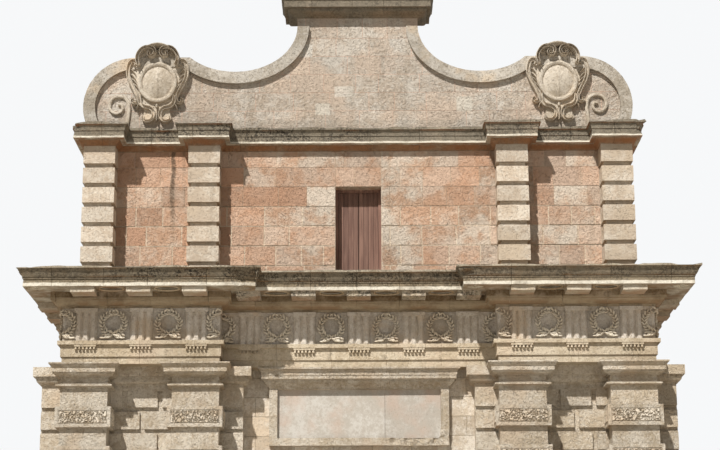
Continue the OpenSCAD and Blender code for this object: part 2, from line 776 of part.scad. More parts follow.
// A curved strap of one width round c
function strap(c, r, w, a0, a1, n = 12) = concat(
    [for (i = [0 : n]) c + (r + w / 2) * [cos(part_of(a0, a1, i / n)), sin(part_of(a0, a1, i / n))]],
    [for (i = [n : -1 : 0]) c + (r - w / 2) * [cos(part_of(a0, a1, i / n)), sin(part_of(a0, a1, i / n))]]);

// The field is left bare, inside a ring and under a scrolled hood
module shield() {
    r = shield_r;
    t = cartouche_t;
    linear_extrude(t * 0.3) polygon([for (p = oval(r * 1.38, r * 1.8)) p - [0, r * 0.08]]);
    rotate_extrude() polygon([[0, 0], [r, 0], [r, t * 0.7], [r * 0.93, t * 0.85], [r * 0.82, t * 0.8],
        [r * 0.78, t * 0.5], [r * 0.6, t * 0.64], [r * 0.3, t * 0.74], [0, t * 0.78]]);
    linear_extrude(t) polygon([[-r * 0.09, r * 1.2], [r * 0.09, r * 1.2], [r * 0.2, r * 1.86],
        [-r * 0.2, r * 1.86]]);
    linear_extrude(t * 0.8) polygon([[-r * 0.05, -r], [r * 0.05, -r], [r * 0.13, -r * 1.9],
        [-r * 0.13, -r * 1.9]]);
    for (s = [-1, 1]) side(s) {
        linear_extrude(t) polygon(curl([r * 0.29, r * 1.46], r * 0.86, -40, 420, 0.0055, 0.16));
        linear_extrude(t * 0.85) polygon(strap([r * 0.2, r * 0.33], r * 1.22, r * 0.24, -56, 44));
        linear_extrude(t * 0.85) polygon(curl([r * 1.1, -r * 0.93], r * 0.3, 110, 300, 0.004, 0.3));
        linear_extrude(t * 0.75) polygon(curl([r * 0.46, -r * 1.66], r * 0.72, 70, 400, 0.0062, 0.2));
    }
}

module cartouche(s) {
    color(cream) side(s) difference() {
        union() {
            translate([cartouche_x, gable_y, roof_z + cartouche_z]) rotate([90, 0, 0]) shield();
            translate([scroll_x + spiral_r * 1.2, gable_y, roof_z + scroll_z]) rotate([90, 0, 0])
                linear_extrude(spiral_out) polygon(curl([0, 0], spiral_r, 232, -400, -0.0045, 0.1));
        }
        coping_band(coping_out);
    }
}

core(-1);  // left_core
core(1);  // right_core
arch_vault();
facing(-1, false);  // left_front_facing
facing(1, false);  // right_front_facing
facing(-1, true);  // left_rear_facing
facing(1, true);  // right_rear_facing
end_facing(-1);  // left_end_facing
end_facing(1);  // right_end_facing
pedestals(-1);  // left_pedestals
pedestals(1);  // right_pedestals
front_pilaster(-pilaster_xs[1]);  // left_outer_pilaster
front_pilaster(-pilaster_xs[0]);  // left_inner_pilaster
front_pilaster(pilaster_xs[0]);  // right_inner_pilaster
front_pilaster(pilaster_xs[1]);  // right_outer_pilaster
rear_pilasters();
archivolt(false);  // front_archivolt
archivolt(true);  // rear_archivolt
tablet_frame();
tablet_slab();
tablet_hood();
architrave();
frieze();
triglyphs();
wreaths();
main_cornice();
mutules();
attic_floor();
attic_front_wall(-1);  // attic_wall_left
attic_front_wall(1);  // attic_wall_right
attic_lintel();
attic_rear_wall();
attic_end(-1);  // attic_left_end
attic_end(1);  // attic_right_end
front_attic_pier(-1, pilaster_xs[1]);  // left_outer_attic_pier
front_attic_pier(-1, pilaster_xs[0]);  // left_inner_attic_pier
front_attic_pier(1, pilaster_xs[0]);  // right_inner_attic_pier
front_attic_pier(1, pilaster_xs[1]);  // right_outer_attic_pier
rear_attic_piers();
attic_cornice();
attic_roof();
door_frame();
door_leaf(-1);  // left_door_leaf
door_leaf(1);  // right_door_leaf
gable_wall();
coping(-1);  // left_coping
coping(1);  // right_coping
neck_cornice();
cartouche(-1);  // left_cartouche
cartouche(1);  // right_cartouche
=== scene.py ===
import bpy
import bmesh
import math
from mathutils import Matrix, Vector, noise


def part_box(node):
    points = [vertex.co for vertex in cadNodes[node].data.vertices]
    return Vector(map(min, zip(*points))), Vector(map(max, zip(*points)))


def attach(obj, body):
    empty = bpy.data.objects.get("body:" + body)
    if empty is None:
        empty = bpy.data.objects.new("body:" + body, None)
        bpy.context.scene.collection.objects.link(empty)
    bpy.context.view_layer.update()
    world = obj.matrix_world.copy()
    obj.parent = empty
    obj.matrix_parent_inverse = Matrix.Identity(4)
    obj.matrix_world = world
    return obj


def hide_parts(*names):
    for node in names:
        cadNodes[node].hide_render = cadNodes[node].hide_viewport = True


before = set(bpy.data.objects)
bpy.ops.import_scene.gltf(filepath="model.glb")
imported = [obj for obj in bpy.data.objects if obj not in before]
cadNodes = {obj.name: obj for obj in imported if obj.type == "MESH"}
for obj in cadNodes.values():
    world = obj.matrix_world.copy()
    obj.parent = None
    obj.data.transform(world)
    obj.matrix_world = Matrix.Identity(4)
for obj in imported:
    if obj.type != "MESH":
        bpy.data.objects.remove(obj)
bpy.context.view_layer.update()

scene = bpy.context.scene


# small tools for node trees
def put(tree, kind, values=None, **settings):
    made = tree.nodes.new(kind)
    for key, value in settings.items():
        setattr(made, key, value)
    for key, value in (values or {}).items():
        if isinstance(value, bpy.types.NodeSocket):
            tree.links.new(value, made.inputs[key])
        else:
            made.inputs[key].default_value = value
    return made


def calc(tree, operation, *values):
    return put(tree, "ShaderNodeMath", dict(enumerate(values)), operation=operation).outputs[0]


def times(tree, first, *others):
    for value in others:
        first = calc(tree, "MULTIPLY", first, value)
    return first


def plus(tree, first, *others):
    for value in others:
        first = calc(tree, "ADD", first, value)
    return first


def minus(tree, first, second):
    return calc(tree, "SUBTRACT", first, second)


def ramp(tree, value, low, high, start=0.0, end=1.0):
    return put(tree, "ShaderNodeMapRange", {0: value, 1: low, 2: high, 3: start, 4: end},
               interpolation_type="SMOOTHSTEP").outputs[0]


def within(tree, value, low, high, soft):  # 1 between low and high, 0 outside
    return times(tree, ramp(tree, value, low - soft, low + soft),
                 ramp(tree, value, high - soft, high + soft, 1.0, 0.0))


def cloud(tree, spot, scale, detail=4.0, rough=0.6, swirl=0.0):
    return put(tree, "ShaderNodeTexNoise", {"Vector": spot, "Scale": scale, "Detail": detail,
                                            "Roughness": rough, "Distortion": swirl}).outputs[0]


def tint(tree, factor, under, over, mode="MIX"):
    return put(tree, "ShaderNodeMix", {0: factor, 6: under, 7: over},
               data_type="RGBA", blend_type=mode).outputs[2]


def shifted(tree, spot, move=(0, 0, 0), scale=(1, 1, 1)):
    return put(tree, "ShaderNodeMapping", {"Vector": spot, "Location": move, "Scale": scale}).outputs[0]


def parts(tree, vector):
    return put(tree, "ShaderNodeSeparateXYZ", {0: vector}).outputs


def vectorOf(tree, x=0.0, y=0.0, z=0.0):
    return put(tree, "ShaderNodeCombineXYZ", {0: x, 1: y, 2: z}).outputs[0]


def linear(rgb):  # screen colour, 0 to 255, as Blender's own
    return [(c / 255 / 12.92) if c < 11 else ((c / 255 + 0.055) / 1.055) ** 2.4 for c in rgb] + [1.0]


# stone: tones, then how strongly each kind of weather shows
plainLook = {
    "pale": (231, 222, 208), "deep": (199, 184, 163), "patch": (216, 196, 170), "patchShare": 0.15,
    "patchScale": 1.1, "warm": (207, 178, 150), "mortar": (196, 184, 162), "shadeSpread": 0.2, "joints": None,
    "depth": 0.03, "erosion": 7.0, "hollows": 0.3, "hollowTone": (150, 131, 106), "pits": 0.3,
    "pitTone": (128, 108, 86), "streaks": 0.3, "streakTone": (148, 133, 113), "lichenTop": 0.75,
    "lichen": (92, 86, 74), "stainUnder": 0.3, "stain": (150, 118, 84),
    "repairs": (),                  # x from, x to, z from, z to, tone
    "drips": (),                    # x, half width, z from, z to, strength
    "dripTone": (92, 80, 64),
    "bands": (),                    # z from, z to, tone, strength, black blotches
    "crust": ((-99, 99, 1.0),),     # x from, x to, strength of the black blotches there
    "crustTone": (50, 46, 40),
}


def newFinish(name):
    material = bpy.data.materials.new(name)
    material.use_nodes = True
    tree = material.node_tree
    tree.nodes.clear()
    return material, tree, put(tree, "ShaderNodeTexCoord").outputs["Object"]


def attribute(tree, name):
    return put(tree, "ShaderNodeAttribute", attribute_name=name).outputs["Fac"]


def darken(tree, colour, share):
    return tint(tree, 1.0, colour, vectorOf(tree, share, share, share), "MULTIPLY")


def endFinish(tree, colour, roughness, specular, bump):
    shader = put(tree, "ShaderNodeBsdfPrincipled", {
        "Base Color": colour, "Roughness": roughness, "Specular IOR Level": specular, "Normal": bump.outputs[0]})
    put(tree, "ShaderNodeOutputMaterial", {0: shader.outputs[0]})


def jointField(tree, spot, normal, joints):
    across = parts(tree, spot)
    sideways = calc(tree, "GREATER_THAN", calc(tree, "ABSOLUTE", parts(tree, normal)[0]), 0.7)
    run = put(tree, "ShaderNodeMix", {0: sideways, 2: across[0], 3: across[1]}, data_type="FLOAT").outputs[0]
    place = vectorOf(tree, plus(tree, run, joints["start"]), minus(tree, across[2], joints["bottom"]))
    bricks = put(tree, "ShaderNodeTexBrick", {
        "Vector": place, "Color1": (0, 0, 0, 1), "Color2": (1, 1, 1, 1), "Mortar": (0.5, 0.5, 0.5, 1),
        "Scale": 1.0, "Mortar Size": joints["gap"], "Mortar Smooth": 0.3, "Bias": 0.0,
        "Brick Width": joints["length"], "Row Height": joints["row"]}, offset=0.42)
    return bricks.outputs["Color"], bricks.outputs["Fac"]


def addRepairs(tree, colour, look, field):  # smooth newer stones
    for x0, x1, z0, z1, tone in look["repairs"]:
        inside = times(tree, within(tree, field["x"], x0, x1, 0.02), within(tree, field["z"], z0, z1, 0.02))
        colour = tint(tree, times(tree, inside, 0.75), colour, linear(tone))
    return colour


def addDrips(tree, colour, look, field):  # dark wet lines down the front
    for x, wide, low, high, strength in look["drips"]:
        swing = times(tree, minus(tree, field["mottle"], 0.5), 0.16)
        off = calc(tree, "ABSOLUTE", minus(tree, plus(tree, field["x"], swing), x))
        foot = ramp(tree, plus(tree, field["z"], times(tree, field["rough"], 1.2)), low, low + 1.4)
        drip = times(tree, ramp(tree, off, wide, wide * 0.3), foot, calc(tree, "LESS_THAN", field["y"], 0.0),
                     ramp(tree, field["rough"], 0.3, 0.6, 0.5, 1.0), calc(tree, "LESS_THAN", field["z"], high))
        colour = tint(tree, times(tree, drip, strength), colour, linear(look["dripTone"]))
    return colour


def addBands(tree, colour, look, field):  # weather and painted highlights by height, with black crust in clumps
    clump = ramp(tree, cloud(tree, shifted(tree, field["spot"], (1.7, 4.1, 9.3)), 2.4, 6, 0.7), 0.38, 0.56, 0.25, 1.0)
    speckle = ramp(tree, cloud(tree, field["spot"], 21.0, 8, 0.8), 0.46, 0.54)
    reach = 0.0
    for low, high, strength in look["crust"]:
        reach = calc(tree, "MAXIMUM", reach, times(tree, within(tree, field["x"], low, high, 0.5), strength))
    blotch = times(tree, clump, speckle, reach)
    waved = plus(tree, field["z"], times(tree, minus(tree, field["mottle"], 0.5), 0.05))
    uneven = ramp(tree, cloud(tree, shifted(tree, field["spot"], (5.2, 0.4, 6.6), (1.0, 1.0, 0.5)), 2.1, 5, 0.65),
                  0.36, 0.56, 0.55, 1.0)
    for low, high, tone, strength, black in look["bands"]:
        inside = within(tree, waved, low, high, 0.012)
        colour = tint(tree, times(tree, inside, uneven, strength), colour, linear(tone))
        if black:
            colour = tint(tree, times(tree, inside, blotch, black), colour, linear(look["crustTone"]))
    return colour


def stoneFinish(name, **changes):
    look = dict(plainLook, **changes)
    material, tree, spot = newFinish(name)
    normal = put(tree, "ShaderNodeNewGeometry").outputs["True Normal"]
    upward = parts(tree, normal)[2]
    x, y, z = parts(tree, spot)

    broad = cloud(tree, spot, 0.5, 3)
    mottle = cloud(tree, spot, 3.3, 6, 0.65)
    grain = cloud(tree, spot, 30.0, 5, 0.7)
    wear = cloud(tree, spot, look["erosion"], 9, 0.72, 0.5)
    rough = cloud(tree, shifted(tree, spot, (3.1, 8.2, 5.7)), 17.0, 6, 0.72, 0.4)
    field = {"spot": spot, "x": x, "y": y, "z": z, "mottle": mottle, "rough": rough}
    mixed = plus(tree, times(tree, broad, 0.3), times(tree, mottle, 0.3), times(tree, rough, 0.4))
    colour = tint(tree, ramp(tree, mixed, 0.435, 0.565), linear(look["pale"]), linear(look["deep"]))
    patches = cloud(tree, shifted(tree, spot, (7.3, 2.1, 4.4)), look["patchScale"], 5, 0.6)
    edge = 0.62 - 0.3 * look["patchShare"]
    colour = tint(tree, ramp(tree, patches, edge - 0.06, edge + 0.1, 0.0, 0.85), colour, linear(look["patch"]))

    # tone of each separate stone, from the attributes that the stone layer writes
    colour = tint(tree, attribute(tree, "warmth"), colour, linear(look["warm"]))
    darker = minus(tree, 1.0, times(tree, attribute(tree, "shade"), look["shadeSpread"]))
    if look["joints"]:
        tone, jointMask = jointField(tree, spot, normal, look["joints"])
        darker = times(tree, darker, ramp(tree, tone, 0.0, 1.0, 0.86, 1.06))
    colour = darken(tree, colour, darker)
    if look["joints"]:
        colour = tint(tree, times(tree, jointMask, 0.55), colour, linear(look["joints"]["tone"]))
    colour = tint(tree, times(tree, attribute(tree, "mortar"), 0.9), colour, linear(look["mortar"]))

    # eroded hollows, small pits, drips and the rain's long streaks
    colour = addRepairs(tree, colour, look, field)
    hollow = ramp(tree, plus(tree, times(tree, wear, 0.5), times(tree, rough, 0.5)), 0.46, 0.39, 0.0, look["hollows"])
    colour = tint(tree, hollow, colour, linear(look["hollowTone"]))
    pits = ramp(tree, cloud(tree, spot, 34.0, 3, 0.6), 0.58, 0.66)
    colour = tint(tree, times(tree, pits, look["pits"]), colour, linear(look["pitTone"]))
    colour = addDrips(tree, colour, look, field)
    rain = cloud(tree, shifted(tree, spot, scale=(4.5, 4.5, 0.32)), 1.0, 5, 0.6)
    colour = tint(tree, ramp(tree, rain, 0.55, 0.75, 0.0, look["streaks"]), colour, linear(look["streakTone"]))
    colour = addBands(tree, colour, look, field)

    # grey growth on the tops, ochre stain on the undersides
    top = times(tree, ramp(tree, upward, 0.35, 0.8), ramp(tree, mottle, 0.3, 0.6, 0.5, 1.0))
    colour = tint(tree, times(tree, top, look["lichenTop"]), colour, linear(look["lichen"]))
    under = times(tree, ramp(tree, upward, -0.35, -0.85), ramp(tree, patches, 0.4, 0.6))
    colour = tint(tree, times(tree, under, look["stainUnder"]), colour, linear(look["stain"]))

    relief = plus(tree, times(tree, wear, 0.8), times(tree, rough, 0.55), times(tree, grain, 0.25),
                  times(tree, pits, -0.35))
    if look["joints"]:
        relief = minus(tree, relief, times(tree, jointMask, 0.6))
    bump = put(tree, "ShaderNodeBump", {"Strength": 0.9, "Distance": look["depth"], "Height": relief})
    endFinish(tree, colour, ramp(tree, grain, 0.3, 0.7, 0.82, 0.97), 0.25, bump)
    return material


def timberFinish(name, pale, deep):
    material, tree, spot = newFinish(name)
    fibre = cloud(tree, shifted(tree, spot, scale=(22, 22, 1.1)), 1.0, 6, 0.65, 0.4)
    faded = cloud(tree, shifted(tree, spot, scale=(3, 3, 0.9)), 1.0, 4, 0.6)
    mixed = plus(tree, times(tree, fibre, 0.65), times(tree, faded, 0.35))
    colour = tint(tree, ramp(tree, mixed, 0.36, 0.64), linear(deep), linear(pale))
    colour = darken(tree, colour, minus(tree, 1.0, times(tree, attribute(tree, "shade"), 0.3)))
    bump = put(tree, "ShaderNodeBump", {"Strength": 0.5, "Distance": 0.006, "Height": fibre})
    endFinish(tree, colour, 0.8, 0.3, bump)
    return material


def dress(material, *names):
    for name in names:
        cadNodes[name].data.materials.clear()
        cadNodes[name].data.materials.append(material)


# the camera stands where the photograph's outlines fit, a little above the ground
viewFrom = {"distance": 38.79, "eye": 0.8, "pitch": 13.92, "roll": -0.25,
            "lens": 88.25, "shiftX": 0.002, "shiftY": 0.05}
studio = {"sun": 4.75, "sunTilt": 50.0, "sunLeft": 26.0, "sunSoft": 1.2, "sunColour": (1.0, 0.98, 0.95),
          "fill": 0.25, "fillColour": (0.92, 0.95, 1.0, 1), "backdrop": (0.93, 0.94, 0.95, 1),
          "floorTone": 0.63, "floorBounce": (0.46, 0.42, 0.36), "floorSize": 160.0}


def makeCamera(setup):
    data = bpy.data.cameras.new("camera")
    data.lens = setup["lens"]
    data.sensor_width = 36.0
    data.shift_x, data.shift_y = setup["shiftX"], setup["shiftY"]
    data.clip_end = 400.0
    camera = bpy.data.objects.new("camera", data)
    camera.matrix_world = (Matrix.Translation((0, -setup["distance"], setup["eye"]))
                           @ Matrix.Rotation(math.radians(90 + setup["pitch"]), 4, "X")
                           @ Matrix.Rotation(math.radians(setup["roll"]), 4, "Z"))
    scene.collection.objects.link(camera)
    scene.camera = camera


def makeSun(setup):
    data = bpy.data.lights.new("sun", "SUN")
    data.energy = setup["sun"]
    data.angle = math.radians(setup["sunSoft"])
    data.color = setup["sunColour"]
    sun = bpy.data.objects.new("sun", data)
    tilt, left = math.radians(setup["sunTilt"]), math.radians(setup["sunLeft"])
    away = Vector((-math.sin(left) * math.cos(tilt), -math.cos(left) * math.cos(tilt), math.sin(tilt)))
    sun.rotation_euler = away.to_track_quat("Z", "Y").to_euler()
    scene.collection.objects.link(sun)


def makeWorld(setup):  # soft fill on the stone, a pale backdrop behind it
    world = bpy.data.worlds.new("studio")
    scene.world = world
    world.use_nodes = True
    tree = world.node_tree
    tree.nodes.clear()
    rays = put(tree, "ShaderNodeLightPath").outputs
    seen = calc(tree, "MAXIMUM", rays["Is Camera Ray"],
                calc(tree, "MAXIMUM", rays["Is Glossy Ray"], rays["Is Transmission Ray"]))
    fill = put(tree, "ShaderNodeBackground", {"Color": setup["fillColour"], "Strength": setup["fill"]})
    backdrop = put(tree, "ShaderNodeBackground", {"Color": setup["backdrop"], "Strength": 1.0})
    both = put(tree, "ShaderNodeMixShader", {0: seen, 1: fill.outputs[0], 2: backdrop.outputs[0]})
    put(tree, "ShaderNodeOutputWorld", {0: both.outputs[0]})


def makeFloor(setup):  # pale to the eye, dimmer in the light that it throws back
    half = setup["floorSize"] / 2
    mesh = bpy.data.meshes.new("floor")
    mesh.from_pydata([(-half, -half, 0), (half, -half, 0), (half, half, 0), (-half, half, 0)], [], [(0, 1, 2, 3)])
    material = bpy.data.materials.new("paleFloor")
    material.use_nodes = True
    tree = material.node_tree
    shader = tree.nodes["Principled BSDF"]
    shader.inputs["Roughness"].default_value = 0.9
    seen = put(tree, "ShaderNodeLightPath").outputs["Is Camera Ray"]
    pale, dim = [setup["floorTone"]] * 3 + [1], [*setup["floorBounce"], 1]
    tree.links.new(tint(tree, seen, dim, pale), shader.inputs["Base Color"])
    mesh.materials.append(material)
    floor = bpy.data.objects.new("floor", mesh)
    scene.collection.objects.link(floor)


makeCamera(viewFrom)
makeSun(studio)
makeWorld(studio)
makeFloor(studio)
scene.view_settings.view_transform = "Standard"
print("camera, light and floor")

# places that the finishes and carvings follow, from the frame
corniceLow, corniceHigh = (corner.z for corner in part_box("main_cornice"))
corniceTall = corniceHigh - corniceLow
capLow, capHigh = (corner.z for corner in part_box("attic_cornice"))
capTall = capHigh - capLow
neckLow, neckHigh = (corner.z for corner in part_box("neck_cornice"))
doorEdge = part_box("door_frame")[1].x
atticLow, atticHigh = (corner.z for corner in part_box("attic_wall_left"))
pairX = (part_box("left_outer_pilaster")[0].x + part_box("left_inner_pilaster")[1].x) / -2
bayPitch = 1.15                       # from one metope to the next, and from a pair's middle to its pilasters
breakIn, breakOut = pairX - 1.64, pairX + 1.64
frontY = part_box("wreaths")[1].y       # face of the frieze over the passage
breakY = frontY - 0.49                # face of the frieze over a pair
courseTall, shaftCourse, pierCourse = 0.46, 0.41, 0.445   # of the lower walls, the shafts and the attic's piers

creamStone = stoneFinish("creamStone")
wallStone = stoneFinish("wallStone", joints={
    "start": 0.2, "bottom": 0.0, "gap": 0.007, "length": 2 * shaftCourse, "row": shaftCourse,
    "tone": (150, 134, 108)})
atticStone = stoneFinish(
    "atticStone", pale=(233, 211, 188), deep=(210, 173, 144), patch=(237, 223, 204), patchShare=0.45,
    patchScale=1.7, warm=(217, 170, 138), mortar=(226, 208, 184), streaks=0.2, depth=0.07, hollows=0.1,
    pits=0.1, erosion=5.5, shadeSpread=0.26,
    drips=((-4.1, 0.075, 11.0, 12.62, 0.85), (-3.86, 0.05, 11.7, 12.62, 0.3), (3.0, 0.06, 11.9, 12.62, 0.3)))
pierStone = stoneFinish("pierStone", pale=(235, 222, 203), deep=(211, 192, 169), patchShare=0.2,
                        depth=0.028, hollows=0.08, pits=0.15)
gableStone = stoneFinish(
    "gableStone", pale=(231, 222, 208), deep=(203, 187, 168), patch=(226, 205, 184), patchShare=0.36,
    patchScale=1.1, mortar=(216, 184, 162), depth=0.08, erosion=4.6, hollows=0.26, pits=0.25,
    bands=((13.0, 13.3, (178, 168, 152), 0.35, 0.25),), crust=((-99, 99, 0.1), (-3.4, -0.8, 0.6), (0.8, 2.4, 0.5)),
    repairs=((-1.36, -1.02, 14.79, 15.1, (232, 226, 214)), (-0.52, -0.1, 13.85, 14.1, (228, 220, 206)),
             (-0.95, -0.62, 13.43, 13.7, (228, 220, 204)), (2.2, 2.55, 13.5, 13.85, (226, 218, 202))))
copingStone = stoneFinish("copingStone", pale=(211, 203, 190), deep=(172, 161, 144), lichenTop=0.45, hollows=0.5)
shieldStone = stoneFinish("shieldStone", pale=(215, 204, 187), deep=(184, 170, 150), lichenTop=0.25, hollows=0.25)
friezeStone = stoneFinish("friezeStone", pale=(228, 219, 206), deep=(202, 189, 171))
beamStone = stoneFinish("beamStone", pale=(224, 209, 184), deep=(194, 176, 148))
mutuleStone = stoneFinish(
    "mutuleStone", pale=(224, 213, 194), deep=(200, 182, 156), stain=(178, 134, 98), stainUnder=0.55,
    bands=((corniceLow, corniceHigh, (206, 192, 168), 0.2, 0.75),), crust=((-99, 99, 0.12), (-2.9, 2.9, 1.0)))
# laurel leaves: a paler copy of the frieze stone, painted lighter to stand for the light the leaves catch against the
# frieze
laurelPaintedLitStone = stoneFinish("laurelPaintedLitStone", pale=(238, 228, 209), deep=(218, 204, 181), lichenTop=0.2, hollows=0.15)
corniceStone = stoneFinish(
    "corniceStone", pale=(158, 138, 110), deep=(124, 102, 74), lichenTop=0.9, stainUnder=0.6, hollows=0.55,
    stain=(140, 102, 64), crust=((-99, 99, 0.62), (-5.2, -1.9, 1.0), (-2.9, 2.9, 0.9), (4.6, 6.2, 0.7)), bands=(
        (corniceLow, corniceLow + 0.19, (196, 178, 150), 0.7, 0.1),
        # painted highlight: a near-white band where the sun catches the corona's lower fillet under the cyma's shadow
        (corniceLow + 0.445 * corniceTall, corniceLow + 0.545 * corniceTall, (238, 230, 212), 1.0, 0.2),
        (corniceLow + 0.55 * corniceTall, corniceLow + 0.66 * corniceTall, (150, 138, 116), 0.8, 0.75),
        (corniceLow + 0.66 * corniceTall, corniceHigh - 0.045, (138, 128, 110), 0.88, 0.95),
        (corniceHigh - 0.045, corniceHigh + 0.1, (190, 180, 160), 0.75, 0.6)))
capStone = stoneFinish(
    "capStone", pale=(190, 176, 153), deep=(152, 136, 113), lichenTop=0.9, stainUnder=0.8, hollows=0.5,
    stain=(160, 108, 70), crust=((-99, 99, 0.45), (-4.9, 0.5, 1.0), (2.2, 5.2, 0.8)), bands=(
        (capLow, capLow + 0.25 * capTall, (168, 118, 80), 0.8, 0.35),
        # painted highlight: a near-white band where the sun catches the corona's lower fillet under the cap's shadow
        (capLow + 0.27 * capTall, capLow + 0.36 * capTall, (238, 230, 212), 1.0, 0.0),
        (capLow + 0.36 * capTall, capHigh + 0.1, (138, 129, 113), 0.85, 0.9)))
neckStone = stoneFinish("neckStone", pale=(170, 158, 138), deep=(138, 126, 106), lichenTop=0.9,
                        bands=((neckLow, neckHigh + 0.1, (132, 122, 106), 0.75, 0.45),))
marbleStone = stoneFinish(
    "marbleStone", pale=(204, 199, 190), deep=(184, 176, 164), patch=(194, 174, 158), patchShare=0.3,
    patchScale=0.9, hollows=0.15, depth=0.006, streaks=0.45, streakTone=(174, 158, 140), shadeSpread=0.06)
wormStone = stoneFinish("wormStone", pale=(232, 221, 203), deep=(202, 185, 160), shadeSpread=0.3, hollows=0.2)
cofferStone = stoneFinish("cofferStone", pale=(214, 196, 168), deep=(180, 156, 124), shadeSpread=0.62,
                          stain=(150, 104, 62), stainUnder=0.5, hollows=0.3)
faceStone = stoneFinish("faceStone", pale=(232, 221, 203), deep=(200, 183, 158), hollows=0.35, depth=0.065)
doorTimber = timberFinish("doorTimber", (160, 125, 109), (122, 92, 80))

dress(creamStone, "left_pedestals", "right_pedestals", "left_outer_pilaster", "left_inner_pilaster",
      "right_inner_pilaster", "right_outer_pilaster", "rear_pilasters", "front_archivolt", "rear_archivolt",
      "tablet_frame", "tablet_hood", "left_front_facing", "right_front_facing", "left_rear_facing",
      "right_rear_facing", "left_end_facing", "right_end_facing")
dress(wallStone, "left_core", "right_core", "arch_vault")
dress(friezeStone, "architrave", "frieze", "triglyphs", "wreaths", "mutules")
dress(corniceStone, "main_cornice")
dress(capStone, "attic_cornice")
dress(neckStone, "neck_cornice", "attic_roof", "attic_floor")
dress(atticStone, "attic_wall_left", "attic_wall_right", "attic_lintel", "attic_rear_wall",
      "attic_left_end", "attic_right_end")
dress(pierStone, "left_outer_attic_pier", "left_inner_attic_pier", "right_inner_attic_pier",
      "right_outer_attic_pier", "rear_attic_piers")
dress(gableStone, "gable_wall")
dress(copingStone, "left_coping", "right_coping", "left_cartouche", "right_cartouche")
dress(marbleStone, "tablet_slab")
dress(doorTimber, "door_frame", "left_door_leaf", "right_door_leaf")
print("stone finishes")


def openCopy(*names):  # the solids as one editable mesh with flat faces whole again
    mesh = bmesh.new()
    for name in names:
        mesh.from_mesh(cadNodes[name].data)
    bmesh.ops.remove_doubles(mesh, verts=mesh.verts, dist=0.0002)
    bmesh.ops.dissolve_limit(mesh, angle_limit=math.radians(0.6), verts=mesh.verts, edges=mesh.edges)
    return mesh


def cutThrough(mesh, faces, point, across):
    edges = list(dict.fromkeys(edge for face in faces for edge in face.edges))
    corners = list(dict.fromkeys(corner for face in faces for corner in face.verts))
    bmesh.ops.bisect_plane(mesh, geom=corners + edges + faces, dist=0.0002, plane_co=point, plane_no=across)


def splitLarge(mesh):  # faces with many corners go before any corner moves
    bmesh.ops.triangulate(mesh, faces=[face for face in mesh.faces if len(face.verts) > 4])


def chance(spot, salt=0.0):  # the same number for the same place in every run
    mixed = math.sin(round(spot[0], 2) * 12.9898 + round(spot[1], 2) * 78.233
                     + round(spot[2], 2) * 37.719 + salt * 4.137) * 43758.5453
    return mixed - math.floor(mixed)


def finishPiece(name, mesh, material, replaced=()):
    if isinstance(mesh, bmesh.types.BMesh):
        data = bpy.data.meshes.new(name)
        splitLarge(mesh)
        mesh.to_mesh(data)
        mesh.free()
    else:
        data = mesh
    data.materials.clear()
    data.materials.append(material)
    piece = bpy.data.objects.new(name, data)
    scene.collection.objects.link(piece)
    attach(piece, "root")
    if replaced:
        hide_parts(*replaced)


def layStones(mesh, direction, rows, lengths, jointAt, proud, warmAt, salt=0.0):
    axis = 1 if abs(direction.x) > 0.5 else 0
    across = Vector((0, 1, 0)) if axis else Vector((1, 0, 0))
    shade, warmth, mortar = (mesh.faces.layers.float.get(label) or mesh.faces.layers.float.new(label)
                             for label in ("shade", "warmth", "mortar"))

    def planeOf(face):
        return round(face.calc_center_median()[1 - axis], 2)

    def facing(smallest):
        return [face for face in mesh.faces if face.normal.dot(direction) > 0.98 and face.calc_area() > smallest]

    planes = sorted({planeOf(face) for face in facing(0.05)})

    def between(low, high):
        return [face for face in facing(0.002) if low < face.calc_center_median().z < high and planeOf(face) in planes]

    for row in rows:
        cutThrough(mesh, between(-99, 99), (0, 0, row), (0, 0, 1))
    for number, (low, high) in enumerate(zip(rows, rows[1:])):
        ends = [corner.co[axis] for face in between(low, high) for corner in face.verts]
        if not ends:
            continue
        at, last = min(ends) + lengths[0] * (0.45 if number % 2 else 1.0), max(ends)
        while at < last - 0.5 * lengths[0]:
            here = [face for face in between(low, high)
                    if min(c.co[axis] for c in face.verts) < at < max(c.co[axis] for c in face.verts)]
            if here:
                spot = [0.0, 0.0, 0.0]
                spot[axis] = at
                cutThrough(mesh, here, spot, across)
            at += lengths[0] + (lengths[1] - lengths[0]) * chance((at, low, number), salt)
    for stone in [face for face in facing(0.004) if planeOf(face) in planes]:
        spot = stone.calc_center_median()
        shadeHere, warmHere = chance(spot, salt), warmAt(spot, chance(spot, salt + 1))
        ring = bmesh.ops.inset_individual(mesh, faces=[stone], thickness=jointAt(spot), use_even_offset=True,
                                          depth=proud * (0.4 + 0.9 * chance(spot, salt + 2)))["faces"]
        for face in ring:
            face[mortar] = 1.0
            face[warmth] = warmHere * 0.5
        stone[shade], stone[warmth], stone[mortar] = shadeHere, warmHere, 0.0


# attic walls: coursed blocks with wide pale joints, salmon near the left, bleached near the door
atticCourses = {"row": 0.449, "through": 10.447, "lengths": (0.42, 0.86), "joint": (0.013, 0.005),
                "finerAbove": 11.4, "proud": 0.013}


def atticWarmth(spot, luck):
    near = max(0.0, 1.0 - abs(abs(spot.x) - doorEdge - 0.25) / 0.5)
    base = 0.55 if spot.x < -1.2 else 0.3
    return max(0.0, min(1.0, base + 0.75 * (luck - 0.5) - near * (0.7 if spot.x > 0 else 0.2)))


def rowsBetween(low, high, row, through):
    first = math.ceil((low + 0.08 - through) / row)
    last = math.floor((high - 0.08 - through) / row)
    return [low - 0.01] + [through + number * row for number in range(first, last + 1)] + [high + 0.01]


